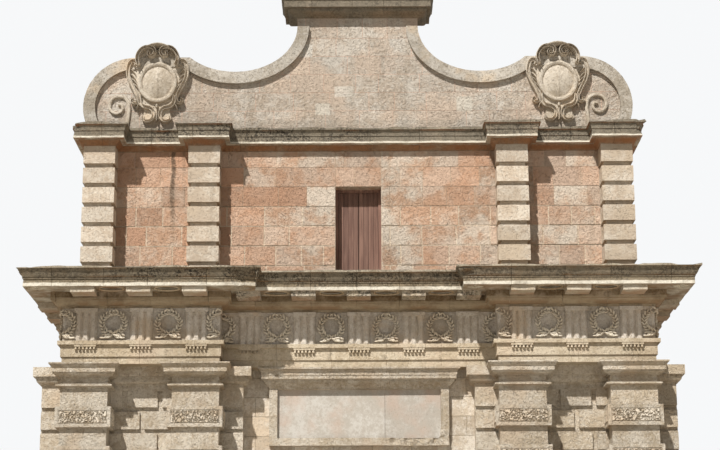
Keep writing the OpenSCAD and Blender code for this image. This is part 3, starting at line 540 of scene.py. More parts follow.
def makeAtticWalls(setup):
    rows = rowsBetween(atticLow, atticHigh, setup["row"], setup["through"])
    for number, (name, outward) in enumerate((
            ("attic_wall_left", (0, -1, 0)), ("attic_wall_right", (0, -1, 0)), ("attic_lintel", (0, -1, 0)),
            ("attic_rear_wall", (0, 1, 0)), ("attic_left_end", (-1, 0, 0)), ("attic_right_end", (1, 0, 0)))):
        mesh = openCopy(name)
        layStones(mesh, Vector(outward), rows, setup["lengths"],
                  lambda spot: setup["joint"][spot.z > setup["finerAbove"]],
                  setup["proud"], atticWarmth, salt=number * 3.0)
        finishPiece(name + "_stones", mesh, atticStone, [name])


# gable: low courses of worn blocks with pinkish joints, cut along the sweeps
gableCourses = {"row": 0.43, "through": 13.09, "lengths": (0.5, 0.95), "joint": 0.006, "proud": 0.004}


def makeGable(setup):
    mesh = openCopy("gable_wall")
    low, high = (corner.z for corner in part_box("gable_wall"))
    rows = rowsBetween(low, high, setup["row"], setup["through"])
    for salt, outward in ((20.0, (0, -1, 0)), (21.0, (0, 1, 0))):
        layStones(mesh, Vector(outward), rows, setup["lengths"], lambda spot: setup["joint"], setup["proud"],
                  lambda spot, luck: 0.2 * luck, salt)
    finishPiece("gable_stones", mesh, gableStone, ["gable_wall"])


makeAtticWalls(atticCourses)
makeGable(gableCourses)
print("attic and gable stones")


# mouldings and courses with joints, worn arrises and chipped rims
def jointsAlong(low, high, lengths, salt):
    at, found = low + lengths[0], []
    while at < high - lengths[0] * 0.6:
        found.append(at)
        at += lengths[0] + (lengths[1] - lengths[0]) * chance((at, low, high), salt)
    return found


def crumble(co, breaks):  # how far the breaks push a corner in
    move = Vector((0, 0, 0))
    for point, radius, depth in breaks:
        near = 1 - (co - Vector(point)).length / radius
        if near > 0:
            loss = depth * min(1.0, near * 2) * (0.6 + noise.noise(co * 7.0) + 0.8 * noise.noise(co * 19.0))
            move += (Vector((0, 0, co.z - 0.3)) - co).normalized() * loss
    return move


def wornMove(corner, high, joints, setup):  # rubbed faces, notched joints, a chipped top rim
    co, salt, move = corner.co, setup["salt"], Vector((0, 0, 0))
    out = Vector((corner.normal.x, corner.normal.y, 0))
    if out.length <= 0.2:
        return move
    out.normalize()
    rub = 0.5 + 0.5 * noise.noise(co * setup["scale"]) + max(0.0, noise.noise(co * 9.0 + Vector((salt, 1, 2))))
    move -= out * rub * setup["rub"]
    for axis in range(3):
        flat = max(abs(out.x), abs(out.y)) > 0.95 if axis == 2 else abs(out[1 - axis]) > 0.95
        if flat and any(abs(co[axis] - at) < 0.001 for at in joints[axis]):
            move -= out * setup.get("notch", 0.0)
    if co.z > high.z - 0.02 and setup.get("chip"):
        loss = max(0.0, noise.noise(co * 1.7 + Vector((salt, 3, 5))) + 0.05)
        loss += max(0.0, noise.noise(co * 6.0 + Vector((salt, 6, 1))) - 0.1) * 0.6
        move.z -= loss * setup["chip"]
        move -= out * loss * setup["chip"] * 0.8
    return move


def weatherCopy(names, material, setup, name=None):
    mesh = openCopy(*names)
    low = Vector([min(corner.co[axis] for corner in mesh.verts) for axis in range(3)])
    high = Vector([max(corner.co[axis] for corner in mesh.verts) for axis in range(3)])
    shade = mesh.faces.layers.float.new("shade")
    salt, gap = setup["salt"], setup.get("gap", 0.006)
    joints = [list(row) for row in setup.get("joints", ((), (), ()))]
    if "lengths" in setup:
        for axis in (0, 1):
            joints[axis] = jointsAlong(low[axis], high[axis], setup["lengths"], salt + axis)
    for axis in range(3):
        cuts = [at + step for at in joints[axis] for step in (-gap, 0.0, gap)]
        step = setup.get("steps", (0, 0, 0))[axis]
        if step:
            cuts += [low[axis] + step * (number + 0.5 * chance((number, axis, 1), salt))
                     for number in range(1, int((high[axis] - low[axis]) / step))]
        for at in cuts:
            point, across = Vector((0, 0, 0)), Vector((0, 0, 0))
            point[axis], across[axis] = at, 1.0
            cutThrough(mesh, list(mesh.faces), point, across)
    splitLarge(mesh)
    mesh.normal_update()
    for face in mesh.faces:
        spot = face.calc_center_median() - face.normal * 0.01
        if "block" in setup:
            block = setup["block"](spot)
        else:
            side = 1 if abs(face.normal.x) > 0.7 else 0
            block = (sum(1 for at in joints[side] if at < spot[side]), side, round(face.normal[1 - side]))
        face[shade] = chance(block, salt)
    for corner in list(mesh.verts):
        move = wornMove(corner, high, joints, setup) + crumble(corner.co, setup.get("breaks", ()))
        if corner.co.y < low.y + 0.01:
            move.y -= setup.get("forward", 0.0)
        corner.co += move
    finishPiece(name or names[0] + "_worn", mesh, material, names)


def bayOf(spot):
    return round(spot.x / bayPitch)


def rowBlock(bottom, height):  # one tone for each course of each separate shaft
    return lambda spot: (bayOf(spot), math.floor((spot.z - bottom) / height), spot.y > 0)


def facingBlock(spot, bottom=1.15, upright=((4.16, 4.9), (4.53,))):  # upright joints of even and odd rows
    row = math.floor((spot.z - bottom) / courseTall)
    return (sum(1 for at in upright[row % 2] if at < abs(spot.x)), row, spot.x > 0)


def endBlock(spot, length=0.8):
    row = math.floor(spot.z / courseTall)
    return (0, math.floor(spot.y / length + 0.5 * (row % 2)), row)


def archBlock(spot, spring=3.4, wedge=15):
    angle = math.degrees(math.atan2(spot.z - spring, spot.x))
    return (math.floor(angle / wedge), 0, 0) if spot.z > spring else (spot.x > 0, math.floor(spot.z / courseTall), 1)


def bothSides(edges):
    return [side * at for at in edges for side in (-1, 1)]


shaftBlock = rowBlock(1.3, shaftCourse)
pierBlock = rowBlock(12.61 - 8 * pierCourse, pierCourse)   # eight courses down from the cap
metopeEdges = bothSides((0.24, 0.91, 1.39, 2.06, 3.14, 3.62, 4.29, 4.77, 5.44, 5.92))

# lengths or joints: where stones meet; steps: how finely the faces are cut; rub, notch, chip: how far they wear;
# breaks: middle, radius and depth of a broken place
mainCornice = {"lengths": (0.75, 1.25), "notch": 0.018, "steps": (0.13, 0.13, 0), "rub": 0.012, "scale": 2.6,
               "chip": 0.08, "salt": 1.0, "breaks": (((-2.18, -3.5, 9.1), 0.42, 0.11),
                                                     ((-6.9, -3.5, 9.44), 0.3, 0.06), ((2.2, -3.5, 9.44), 0.3, 0.07))}
atticCap = {"lengths": (0.7, 1.15), "notch": 0.014, "steps": (0.13, 0.13, 0), "rub": 0.01, "scale": 2.9,
            "chip": 0.06, "salt": 2.0, "breaks": (((-6.35, -2.05, 13.12), 0.36, 0.16),
                                                  ((6.35, -2.05, 12.95), 0.3, 0.1))}
neckCap = {"lengths": (0.7, 1.1), "notch": 0.014, "steps": (0.14, 0.14, 0), "rub": 0.01, "scale": 2.9,
           "chip": 0.05, "salt": 3.0}
beam = {"joints": (bothSides((0.58, 1.73, 3.4, 4.55, 5.7)), bothSides((0.6,)), ()), "gap": 0.004, "notch": 0.01,
        "steps": (0.3, 0.4, 0), "rub": 0.007, "scale": 2.2, "salt": 4.0}
friezeFace = {"joints": (metopeEdges, bothSides((0.34, 0.81, 1.49)), ()), "gap": 0.003, "notch": 0.008,
              "rub": 0.003, "scale": 2.2, "salt": 5.0}
mutuleFace = {"rub": 0.012, "scale": 4.0, "steps": (0.17, 0.17, 0), "salt": 6.0,
              "block": lambda spot: (bayOf(spot), round(spot.y / bayPitch), 0)}
shaft = {"rub": 0.008, "scale": 3.0, "steps": (0, 0, 0.16), "salt": 7.0, "block": shaftBlock}
atticPier = {"rub": 0.007, "scale": 3.0, "steps": (0.2, 0, 0.11), "salt": 8.0, "block": pierBlock}
rearShaft = dict(shaft, steps=(0, 0, 0.2), salt=13.0)
rearPier = dict(atticPier, steps=(0.25, 0, 0.15), salt=14.0)
rearArch = {"rub": 0.006, "scale": 3.0, "salt": 15.0, "block": archBlock}
blockFacing = {"rub": 0.006, "scale": 3.0, "steps": (0, 0, 0.23), "salt": 9.0, "block": facingBlock}
endFacing = {"rub": 0.006, "scale": 3.0, "steps": (0, 0.35, 0.23), "salt": 16.0, "block": endBlock}
pedestal = {"rub": 0.01, "scale": 2.5, "steps": (0.2, 0.2, 0.2), "salt": 17.0,
            "block": lambda spot: (bayOf(spot), math.floor(spot.z / 0.55), spot.y > 0)}
coping = {"rub": 0.009, "scale": 3.5, "salt": 10.0, "forward": 0.04,
          "block": lambda spot: (math.floor(spot.x / 0.55), math.floor(spot.z / 0.8), 0)}
tabletSurround = {"joints": ((-1.9, -0.62, 0.64, 1.9), (), ()), "gap": 0.004, "notch": 0.008,
                  "steps": (0.06, 0, 0.055), "rub": 0.006, "scale": 3.0, "salt": 12.0,
                  "breaks": (((1.6, -2.09, 6.06), 0.36, 0.07), ((1.1, -2.09, 6.09), 0.32, 0.06),
                             ((0.7, -2.09, 6.1), 0.22, 0.045))}

weatherCopy(["main_cornice"], corniceStone, mainCornice)
weatherCopy(["attic_cornice"], capStone, atticCap)
weatherCopy(["neck_cornice"], neckStone, neckCap)
weatherCopy(["architrave"], beamStone, beam)
weatherCopy(["frieze"], friezeStone, friezeFace)
weatherCopy(["mutules"], mutuleStone, mutuleFace)
for pier in ("left_outer", "left_inner", "right_inner", "right_outer"):
    weatherCopy([pier + "_pilaster"], faceStone, shaft)
    weatherCopy([pier + "_attic_pier"], pierStone, atticPier)
weatherCopy(["rear_pilasters"], faceStone, rearShaft)
weatherCopy(["rear_attic_piers"], pierStone, rearPier)
weatherCopy(["rear_archivolt"], faceStone, rearArch)
for side in ("left", "right"):
    weatherCopy([side + "_front_facing"], faceStone, blockFacing)
    weatherCopy([side + "_rear_facing"], faceStone, blockFacing)
    weatherCopy([side + "_end_facing"], faceStone, endFacing)
    weatherCopy([side + "_pedestals"], faceStone, pedestal)
    weatherCopy([side + "_coping"], copingStone, coping)
weatherCopy(["front_archivolt"], faceStone, dict(rearArch, salt=11.0), name="archivolt_worn")
weatherCopy(["tablet_frame", "tablet_hood"], faceStone, tabletSurround, name="tablet_surround_worn")
print("worn courses")


# small tools for Geometry Nodes
def openTree(name, sizes, counts=()):
    tree = bpy.data.node_groups.new(name, "GeometryNodeTree")
    tree.interface.new_socket("Places", in_out="INPUT", socket_type="NodeSocketGeometry")
    for label in sizes:
        tree.interface.new_socket(label, in_out="INPUT", socket_type="NodeSocketFloat")
    for label in counts:
        tree.interface.new_socket(label, in_out="INPUT", socket_type="NodeSocketInt")
    tree.interface.new_socket("Finish", in_out="INPUT", socket_type="NodeSocketMaterial")
    tree.interface.new_socket("Made", in_out="OUTPUT", socket_type="NodeSocketGeometry")
    return tree, tree.nodes.new("NodeGroupInput").outputs


def closeTree(tree, geometry, finish):
    painted = put(tree, "GeometryNodeSetMaterial", {"Geometry": geometry, "Material": finish}).outputs[0]
    put(tree, "NodeGroupOutput", {0: painted})
    return tree


def realized(tree, geometry):
    return put(tree, "GeometryNodeRealizeInstances", {"Geometry": geometry}).outputs[0]


def position(tree):
    return put(tree, "GeometryNodeInputPosition").outputs[0]


def named(tree, name):
    return put(tree, "GeometryNodeInputNamedAttribute", {"Name": name}, data_type="FLOAT_VECTOR").outputs[0]


def stored(tree, geometry, name, value, kind="FLOAT", domain="POINT"):
    return put(tree, "GeometryNodeStoreNamedAttribute", {"Geometry": geometry, "Name": name, "Value": value},
               data_type=kind, domain=domain).outputs[0]


def moved(tree, geometry, **where):
    return put(tree, "GeometryNodeSetPosition", {"Geometry": geometry, **where}).outputs[0]


def scaledBy(tree, vector, factor):
    return put(tree, "ShaderNodeVectorMath", {0: vector, "Scale": factor}, operation="SCALE").outputs[0]


def turned(tree, vector, axis, pivot="AUTO", before=None):
    values = {"Vector": vector} if before is None else {"Rotation": before, "Vector": vector}
    return put(tree, "FunctionNodeAlignRotationToVector", values, axis=axis, pivot_axis=pivot).outputs[0]


def randomBetween(tree, low, high, seed):
    return put(tree, "FunctionNodeRandomValue", {2: low, 3: high, 8: seed}, data_type="FLOAT").outputs[1]


def scattered(tree, points, thing, **how):
    return put(tree, "GeometryNodeInstanceOnPoints", {"Points": points, "Instance": thing, **how}).outputs[0]


def grow(name, tree, places, sizes):  # each place has a position and may have an aim and an outward
    seed = bpy.data.meshes.new(name)
    seed.from_pydata([place["at"] for place in places], [], [])
    for label in ("aim", "outward"):
        field = seed.attributes.new(label, "FLOAT_VECTOR", "POINT")
        for number, place in enumerate(places):
            field.data[number].vector = place.get(label, (0, 0, 1))
    carrier = bpy.data.objects.new(name, seed)
    scene.collection.objects.link(carrier)
    modifier = carrier.modifiers.new("make", "NODES")
    modifier.node_group = tree
    for item in tree.interface.items_tree:
        if item.item_type == "SOCKET" and item.in_out == "INPUT" and item.name in sizes:
            modifier[item.identifier] = sizes[item.name]
    evaluated = carrier.evaluated_get(bpy.context.evaluated_depsgraph_get())
    made = bpy.data.meshes.new_from_object(evaluated)
    bpy.data.objects.remove(carrier)
    for label in ("aim", "outward", "local"):
        if label in made.attributes:
            made.attributes.remove(made.attributes[label])
    return made


def joined(*meshes):
    mesh = bmesh.new()
    for data in meshes:
        mesh.from_mesh(data)
    return mesh


# small tools for carving
stripSections = {
    "round": ((-0.5, 0), (-0.45, 0.55), (-0.25, 0.92), (0, 1), (0.25, 0.92), (0.45, 0.55), (0.5, 0)),
    "rimmed": ((-0.5, 0), (-0.5, 0.75), (-0.42, 0.97), (-0.32, 1), (-0.22, 0.7), (0, 0.6), (0.22, 0.7),
               (0.32, 1), (0.42, 0.97), (0.5, 0.75), (0.5, 0)),
    "banded": ((-0.5, 0), (-0.5, 0.55), (-0.43, 0.82), (-0.3, 0.97), (0, 1), (0.3, 0.9), (0.5, 0.7), (0.5, 0)),
}


def smoothPath(points, steps=6):  # a curve through the points
    full = [points[0]] + list(points) + [points[-1]]
    path = []
    for a, b, c, d in zip(full, full[1:], full[2:], full[3:]):
        for number in range(steps):
            t = number / steps
            path.append(tuple(0.5 * (2 * q + (r - p) * t + (2 * p - 5 * q + 4 * r - s) * t * t
                                     + (3 * q - p - 3 * r + s) * t ** 3) for p, q, r, s in zip(a, b, c, d)))
    return path + [tuple(points[-1])]


def carveStrip(mesh, path, wide, high, origin, right, outward, section="round", closed=False):
    rings, up, count = [], Vector((0, 0, 1)), len(path)
    for number, (u, v) in enumerate(path):
        if closed:
            before, after = path[number - 1], path[(number + 1) % count]
        else:
            before, after = path[max(number - 1, 0)], path[min(number + 1, count - 1)]
        along = Vector((after[0] - before[0], after[1] - before[1]))
        along = along.normalized() if along.length else Vector((1, 0))
        t = number / (count - 1)
        w = wide(t) if callable(wide) else wide
        h = high(t) if callable(high) else high
        rings.append([mesh.verts.new(origin + right * (u - along.y * a * w) + up * (v + along.x * a * w)
                                     + outward * b * h) for a, b in stripSections[section]])
    pairs = list(zip(rings, rings[1:])) + ([(rings[-1], rings[0])] if closed else [])
    for one, other in pairs:
        joinRings(mesh, one, other)
    if not closed:
        mesh.faces.new(list(reversed(rings[0])))
        mesh.faces.new(rings[-1])


def joinRings(mesh, one, other):
    for k in range(len(one)):
        after = (k + 1) % len(one)
        mesh.faces.new((one[k], one[after], other[after], other[k]))


# laurel wreaths in the frieze; foot: place and turn of each leaf that spreads from the tied ends
wreath = {"Leaf length": 0.112, "Leaf width": 0.046, "Leaf thickness": 0.06, "Jitter": 0.2, "Seed": 3,
          "radius": 0.238, "leaves": 10, "splayOut": 24.0, "splayIn": 52.0, "stemWide": 0.014, "stemOut": 0.04,
          "lift": 0.034, "raised": 0.03, "foot": (
              (-0.02, -0.265, 212), (-0.07, -0.285, 200), (-0.12, -0.305, 190), (-0.16, -0.32, 175),
              (-0.03, -0.25, 178), (-0.08, -0.26, 168), (0.06, -0.245, -35), (0.11, -0.235, -48),
              (0.15, -0.215, -30))}


def leafTree():
    tree, given = openTree("laurelLeaves", ("Leaf length", "Leaf width", "Leaf thickness", "Jitter"), ("Seed",))
    ball = put(tree, "GeometryNodeMeshUVSphere", {"Segments": 6, "Rings": 4, "Radius": 1.0}).outputs[0]
    half = [times(tree, given[label], 0.5) for label in ("Leaf width", "Leaf thickness", "Leaf length")]
    shaped = put(tree, "ShaderNodeVectorMath", {0: position(tree), 1: vectorOf(tree, *half),
                                                2: vectorOf(tree, z=half[2])}, operation="MULTIPLY_ADD").outputs[0]
    leaf = moved(tree, ball, Position=shaped)
    aimed = turned(tree, named(tree, "aim"), "Z")
    aimed = turned(tree, named(tree, "outward"), "Y", "Z", before=aimed)
    size = randomBetween(tree, minus(tree, 1.0, given["Jitter"]), plus(tree, 1.0, given["Jitter"]), given["Seed"])
    leaves = realized(tree, scattered(tree, given["Places"], leaf, Rotation=aimed, Scale=size))
    smooth = put(tree, "GeometryNodeSetShadeSmooth", {"Geometry": leaves}).outputs[0]
    return closeTree(tree, smooth, given["Finish"])


def wreathPlaces(origin, right, outward, keep, setup):  # keep: how far to each side the metope is open
    places, up, radius = [], Vector((0, 0, 1)), setup["radius"]

    def grown(u, v, aim, rise):
        if keep[0] <= u + aim[0] * 0.06 <= keep[1]:
            places.append({"at": origin + right * u + up * v + outward * setup["lift"],
                           "aim": right * aim[0] + up * aim[1] + outward * rise, "outward": outward})

    for side in (-1, 1):
        for number in range(setup["leaves"] + 1):
            angle = math.radians(-92 + 172 * number / setup["leaves"])
            tangent = (-side * math.sin(angle), math.cos(angle))
            for lean in (-1, 1):
                turn = math.radians(setup["splayOut"] if lean == -side else setup["splayIn"]) * lean
                aim = (tangent[0] * math.cos(turn) - tangent[1] * math.sin(turn),
                       tangent[0] * math.sin(turn) + tangent[1] * math.cos(turn))
                grown(side * radius * math.cos(angle), radius * math.sin(angle), aim, 0.3)
        for u, v, turn in setup["foot"]:
            angle = math.radians(turn)
            grown(side * u, v, (side * math.cos(angle), math.sin(angle)), 0.2)
    return places


def wreathStem(mesh, origin, right, outward, keep, setup):
    radius = setup["radius"]
    for side in (-1, 1):
        path = [(-side * 0.19, -radius - 0.085), (-side * 0.07, -radius - 0.035)]
        path += [(side * radius * math.cos(math.radians(a)), radius * math.sin(math.radians(a)))
                 for a in range(-96, 78, 9)]
        path = [(u, v) for u, v in path if keep[0] <= u <= keep[1]]
        if len(path) > 2:
            carveStrip(mesh, path, lambda t: setup["stemWide"] * (1.1 - 0.5 * t), setup["stemOut"],
                       origin, right, outward)


def makeWreaths(setup):
    middle = sum(corner.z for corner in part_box("wreaths")) / 2 + setup["raised"]
    east, south = Vector((1, 0, 0)), Vector((0, -1, 0))
    whole, westHalf, eastHalf = (-1, 1), (-1, 0.0), (0.0, 1)
    spots = [(Vector((x * bayPitch, frontY, middle)), east, south, whole) for x in (-1.5, -0.5, 0.5, 1.5)]
    for side in (-1, 1):
        near, far = (eastHalf, westHalf) if side > 0 else (westHalf, eastHalf)
        for x in (pairX - bayPitch / 2, pairX + bayPitch / 2):
            spots.append((Vector((side * x, breakY, middle)), east, south, whole))
        spots.append((Vector((side * breakIn, breakY, middle)), east, south, near))
        spots.append((Vector((side * breakOut, breakY, middle)), east, south, far))
        spots.append((Vector((side * breakIn, frontY, middle)), east, south, far))
        spots.append((Vector((side * breakOut, breakY, middle)), Vector((0, side, 0)), Vector((side, 0, 0)), near))
    places = [place for spot in spots for place in wreathPlaces(*spot, setup)]
    mesh = joined(grow("laurelLeaves", leafTree(), places, dict(setup, Finish=laurelPaintedLitStone)))
    for spot in spots:
        wreathStem(mesh, *spot, setup)
    bmesh.ops.recalc_face_normals(mesh, faces=mesh.faces)
    finishPiece("laurel_wreaths", mesh, laurelPaintedLitStone, ["wreaths"])


makeWreaths(wreath)
print("laurel wreaths")

# oval coffers under the main cornice: a raised bead, and a bed painted darker than the bead
coffer = {"Half length": 0.256, "Half depth": 0.211, "Bead": 0.02, "Sinking": 0.05, "out": 0.488}


def cofferTree():
    tree, given = openTree("coffers", ("Half length", "Half depth", "Bead", "Sinking"))
    size = vectorOf(tree, given["Half length"], given["Half depth"], 1.0)
    oval = put(tree, "ShaderNodeVectorMath", {0: position(tree), 1: size}, operation="MULTIPLY").outputs[0]
    loop = put(tree, "GeometryNodeCurvePrimitiveCircle", {"Resolution": 28, "Radius": 1.0}).outputs[0]
    profile = put(tree, "GeometryNodeCurvePrimitiveCircle", {"Resolution": 8, "Radius": given["Bead"]}).outputs[0]
    bead = put(tree, "GeometryNodeCurveToMesh", {"Curve": moved(tree, loop, Position=oval),
                                                 "Profile Curve": profile}).outputs[0]
    bed = put(tree, "GeometryNodeMeshCylinder", {"Vertices": 28, "Radius": 0.99, "Depth": 0.006}).outputs[0]
    bed = moved(tree, bed, Position=oval, Offset=vectorOf(tree, z=minus(tree, given["Sinking"], 0.005)))
    bed = stored(tree, bed, "shade", 1.0)
    both = tree.nodes.new("GeometryNodeJoinGeometry")
    for part in (bead, bed):
        tree.links.new(part, both.inputs[0])
    aimed = turned(tree, named(tree, "aim"), "X", "Z")
    coffers = realized(tree, scattered(tree, given["Places"], both.outputs[0], Rotation=aimed))
    return closeTree(tree, coffers, given["Finish"])


def makeCoffers(setup):
    under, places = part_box("mutules")[1].z, []
    for side in (-1, 1):
        places += [{"at": (x * bayPitch, side * (-frontY + setup["out"]), under), "aim": (1, 0, 0)}
                   for x in (-1.5, -0.5, 0.5, 1.5)]
        for x in (pairX - bayPitch / 2, pairX + bayPitch / 2):
            places += [{"at": (end * x, side * (-breakY + setup["out"]), under), "aim": (1, 0, 0)} for end in (-1, 1)]
        places += [{"at": (side * (breakOut + setup["out"]), y * bayPitch, under), "aim": (0, 1, 0)}
                   for y in (-1, 0, 1)]
    mesh = joined(grow("coffers", cofferTree(), places, dict(setup, Finish=cofferStone)))
    bmesh.ops.recalc_face_normals(mesh, faces=mesh.faces)
    finishPiece("coffer_beads", mesh, cofferStone)


makeCoffers(coffer)
print("coffers")

# worm-track panels on the pilaster bands; sunk: how far a panel's back lies behind the band's face
wormPanel = {"Panel height": 0.28, "Panel depth": 0.03, "Rim": 0.02, "Ridge": 0.026, "Track scale": 17.0,
             "Tracks": 3.4, "frontWide": 1.0, "sideWide": 0.42, "sideRidge": 0.016, "frontGrid": (96, 28),
             "sideGrid": (26, 18), "sunk": 0.003, "bandHalf": 0.575, "bandOut": 0.557, "sideMiddle": 0.2875,
             "firstBand": 1.515, "pitch": 0.82, "count": 7}


def wormTree():
    tree, given = openTree("wormTracks", ("Panel width", "Panel height", "Panel depth", "Rim", "Ridge",
                                          "Track scale", "Tracks"), ("Columns", "Rows"))
    size = vectorOf(tree, given["Panel width"], given["Panel depth"], given["Panel height"])
    block = put(tree, "GeometryNodeMeshCube", {"Size": size, "Vertices X": given["Columns"], "Vertices Y": 2,
                                               "Vertices Z": given["Rows"]}).outputs[0]
    block = stored(tree, block, "local", position(tree), "FLOAT_VECTOR")
    aim = named(tree, "outward")
    aimed = turned(tree, scaledBy(tree, aim, -1.0), "Y", "Z")
    panels = realized(tree, scattered(tree, given["Places"], block, Rotation=aimed))

    # ridges rise on the outer face alone, inside the rim
    local = parts(tree, named(tree, "local"))
    mask = calc(tree, "LESS_THAN", local[1], 0.0)
    for axis, label in ((0, "Panel width"), (2, "Panel height")):
        room = minus(tree, times(tree, given[label], 0.5), calc(tree, "ABSOLUTE", local[axis]))
        mask = times(tree, mask, ramp(tree, room, 0.0, given["Rim"]))
    drift = cloud(tree, position(tree), given["Track scale"], 1.0, 0.5, 0.8)
    wave = calc(tree, "SINE", times(tree, drift, given["Tracks"], 2 * math.pi))
    share = times(tree, ramp(tree, wave, -0.8, -0.1), mask)
    lift = times(tree, share, given["Ridge"])
    panels = stored(tree, panels, "shade", minus(tree, 1.0, share))
    return closeTree(tree, moved(tree, panels, Offset=scaledBy(tree, aim, lift)), given["Finish"])


def makeWormPanels(setup):
    tree = wormTree()
    shafts = [end * pairX + step for end in (-1, 1) for step in (-bayPitch, bayPitch)]
    thick = setup["Panel depth"] / 2
    for name, side, middles, coarse in (("left_outer", 1, shafts[:1], 1), ("left_inner", 1, shafts[1:2], 1),
                                        ("right_inner", 1, shafts[2:3], 1), ("right_outer", 1, shafts[3:], 1),
                                        ("rear", -1, shafts, 2)):
        fronts, sides = [], []
        for middle in middles:
            for number in range(setup["count"]):
                z = setup["firstBand"] + number * setup["pitch"]
                y = side * (frontY - setup["bandOut"] + thick - setup["sunk"])
                fronts.append({"at": (middle, y, z), "outward": (0, -side, 0)})
                for s in (-1, 1):
                    sides.append({"at": (middle + s * (setup["bandHalf"] - thick + 0.001),
                                         side * (frontY - setup["sideMiddle"]), z), "outward": (s, 0, 0)})
        made = []
        for label, places, wide, ridge, grid in (
                ("fronts", fronts, setup["frontWide"], setup["Ridge"], setup["frontGrid"]),
                ("sides", sides, setup["sideWide"], setup["sideRidge"], setup["sideGrid"])):
            sizes = dict(setup, Finish=wormStone, Ridge=ridge, Columns=grid[0] // coarse, Rows=grid[1] // coarse)
            sizes["Panel width"] = wide
            made.append(grow(label, tree, places, sizes))
        finishPiece(name + "_worm_tracks", joined(*made), wormStone)


makeWormPanels(wormPanel)
print("worm-track panels")

# carved shields and spirals on the gable: points are half outlines, east of the shield's middle
shield = {
    "middle": 4.475, "height": 14.175, "field": (0.345, 0.385), "fieldBase": 0.095, "fieldRise": 0.075,
    "ring": (0.392, 0.432), "ringWide": 0.115, "ringHigh": 0.145, "plate": 0.07, "sunk": 0.004,
    "outline": ((0.0, 0.81), (0.17, 0.83), (0.32, 0.78), (0.42, 0.6), (0.47, 0.47), (0.6, 0.44), (0.63, 0.2),
                (0.54, -0.06), (0.45, -0.3), (0.44, -0.48), (0.3, -0.62), (0.3, -0.85), (0.12, -0.88), (0.0, -0.86)),
    # each strap: its points, its width and its height
    "straps": (
        # hood: up the side, over the top and into its volute
        (((0.42, 0.38), (0.455, 0.52), (0.42, 0.66), (0.33, 0.765), (0.21, 0.8), (0.1, 0.765), (0.065, 0.68),
          (0.11, 0.6), (0.19, 0.61), (0.205, 0.68), (0.155, 0.71), (0.13, 0.665)), 0.085, 0.3),
        # ear: top curl, down the side, lower curl
        (((0.49, 0.37), (0.475, 0.44), (0.53, 0.50), (0.61, 0.47), (0.655, 0.34), (0.655, 0.18), (0.61, 0.03),
          (0.545, -0.10), (0.48, -0.24), (0.43, -0.37), (0.455, -0.475), (0.535, -0.475), (0.56, -0.41),
          (0.515, -0.385)), 0.105, 0.17),
        # lower scrolls beside the drop
        (((0.40, -0.30), (0.38, -0.46), (0.30, -0.56), (0.16, -0.60), (0.085, -0.68), (0.075, -0.79),
          (0.13, -0.88), (0.22, -0.905), (0.295, -0.86), (0.3, -0.79)), 0.1, 0.16)),
    # small leaves between the ring and the ear, and under the hood: root and reach
    "leaves": ((0.59, 0.30, -0.1, -0.11), (0.60, 0.19, -0.11, -0.11), (0.58, 0.08, -0.11, -0.1),
               (0.53, -0.04, -0.09, -0.09), (0.40, -0.50, 0.05, -0.12), (0.50, 0.42, -0.1, -0.02)),
    "crown": ((-0.27, 0.79), (-0.14, 0.84), (0.0, 0.86), (0.14, 0.84), (0.27, 0.79)),
    "spiralX": 5.33, "spiralZ": 13.64, "spiralHigh": 0.07,
    "spiral": ((0.175, -0.52), (0.2, -0.36), (0.225, -0.15), (0.22, 0.04), (0.15, 0.18), (0.02, 0.225),
               (-0.12, 0.19), (-0.2, 0.07), (-0.19, -0.08), (-0.09, -0.17), (0.03, -0.15), (0.09, -0.06),
               (0.06, 0.03), (-0.015, 0.035)),
}


def addDome(mesh, setup, origin, right, outward, around=40, rings=7):  # the field, with a low ridge down it
    up, (rx, rz), keel = Vector((0, 0, 1)), setup["field"], 0.016
    base, rise = setup["fieldBase"], setup["fieldRise"]

    def ringAt(share, height):
        turns = [2 * math.pi * n / around for n in range(around)]
        spots = [(rx * share * math.cos(a), rz * share * math.sin(a)) for a in turns]
        return [mesh.verts.new(origin + right * u + up * v + outward * height(u)) for u, v in spots]

    foot = ringAt(1.0, lambda u: 0.0)
    grid = [foot]
    for share in [1 - k / rings for k in range(rings)]:
        grid.append(ringAt(share, lambda u: base + rise * (1 - share ** 2)
                           + keel * math.exp(-(u / 0.03) ** 2) * (1 - share ** 4)))
    for one, other in zip(grid, grid[1:]):
        joinRings(mesh, one, other)
    peak = mesh.verts.new(origin + outward * (base + rise + keel))
    for n in range(around):
        mesh.faces.new((grid[-1][n], grid[-1][(n + 1) % around], peak))
    mesh.faces.new(list(reversed(foot)))


def addPlate(mesh, outline, thick, origin, right, outward):
    up = Vector((0, 0, 1))
    back = [mesh.verts.new(origin + right * u + up * v) for u, v in outline]
    front = [mesh.verts.new(origin + right * u * 0.97 + up * v * 0.97 + outward * thick) for u, v in outline]
    mesh.faces.new(list(reversed(back)))
    mesh.faces.new(front)
    joinRings(mesh, back, front)


